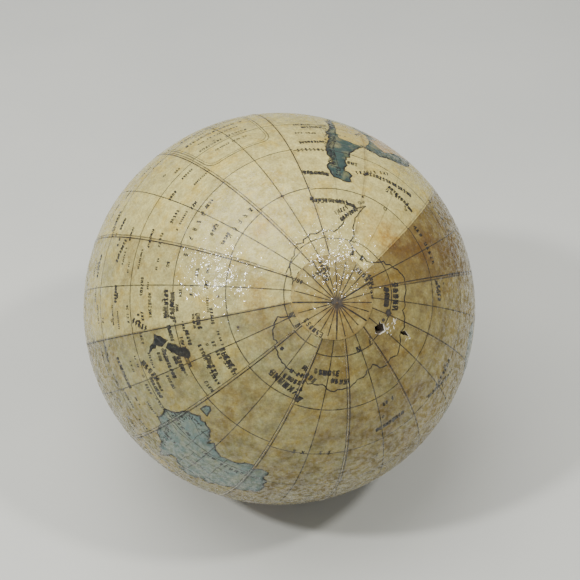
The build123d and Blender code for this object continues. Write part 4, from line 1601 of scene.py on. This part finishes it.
def add_light(name, azimuth, elevation, distance, size, power, colour):
    """An area light that looks at the ball. Azimuth 0 is in front of it and grows to the viewer's right."""
    a, e = math.radians(azimuth), math.radians(elevation)
    place = Vector((math.sin(a) * math.cos(e), -math.cos(a) * math.cos(e), math.sin(e))) * distance
    data = bpy.data.lights.new(name, "AREA")
    data.shape = "DISK"
    data.size = size
    data.energy = power
    data.color = colour
    light = bpy.data.objects.new(name, data)
    light.location = place
    light.rotation_euler = place.to_track_quat("Z", "Y").to_euler()
    bpy.context.scene.collection.objects.link(light)


def make_world():
    """Cool light from the room."""
    world = bpy.data.worlds.new("studio")
    bpy.context.scene.world = world
    world.use_nodes = True
    background = world.node_tree.nodes["Background"]
    background.inputs["Color"].default_value = (0.93, 0.96, 1.0, 1.0)
    background.inputs["Strength"].default_value = 0.34


RADIUS = BALL_RADIUS * MM
LIGHTS = (      # name, azimuth, elevation, distance and size in ball radii, power, colour
    ("ceiling", -121, 76, 12, 12.0, 3.9, (1.0, 0.99, 0.95)),
    ("window", -79, 48, 12, 1.0, 2.6, (1.0, 1.0, 0.98)),
    ("lamp", 44, 57, 12, 1.2, 1.8, (1.0, 0.99, 0.95)),
    ("front", -20, 30, 16, 12.0, 0.8, (1.0, 0.99, 0.97)),
)
CAMERA_AZIMUTH = -22.39
CAMERA_ELEVATION = 42.75
CAMERA_BACK = 7.2234        # ball radii from the ball's centre, along the line of sight
CAMERA_RIGHT = 0.0544       # and sideways and up, which leave the ball off the frame's centre
CAMERA_UP = 0.0949
FIELD_OF_VIEW = 23.418      # degrees


def make_camera():
    a, e = math.radians(CAMERA_AZIMUTH), math.radians(CAMERA_ELEVATION)
    back = Vector((math.sin(a) * math.cos(e), -math.cos(a) * math.cos(e), math.sin(e)))
    right = Vector((math.cos(a), math.sin(a), 0))
    up = back.cross(right)
    data = bpy.data.cameras.new("camera")
    data.sensor_width = 36
    data.lens_unit = "FOV"
    data.angle = math.radians(FIELD_OF_VIEW)
    camera = bpy.data.objects.new("camera", data)
    camera.location = (back * CAMERA_BACK + right * CAMERA_RIGHT + up * CAMERA_UP) * RADIUS
    camera.rotation_euler = (math.radians(90 - CAMERA_ELEVATION), 0, a)
    bpy.context.scene.collection.objects.link(camera)
    bpy.context.scene.camera = camera


make_floor()
for name, azimuth, elevation, distance, size, power, colour in LIGHTS:
    add_light(name, azimuth, elevation, distance * RADIUS, size * RADIUS, power, colour)
make_world()
make_camera()
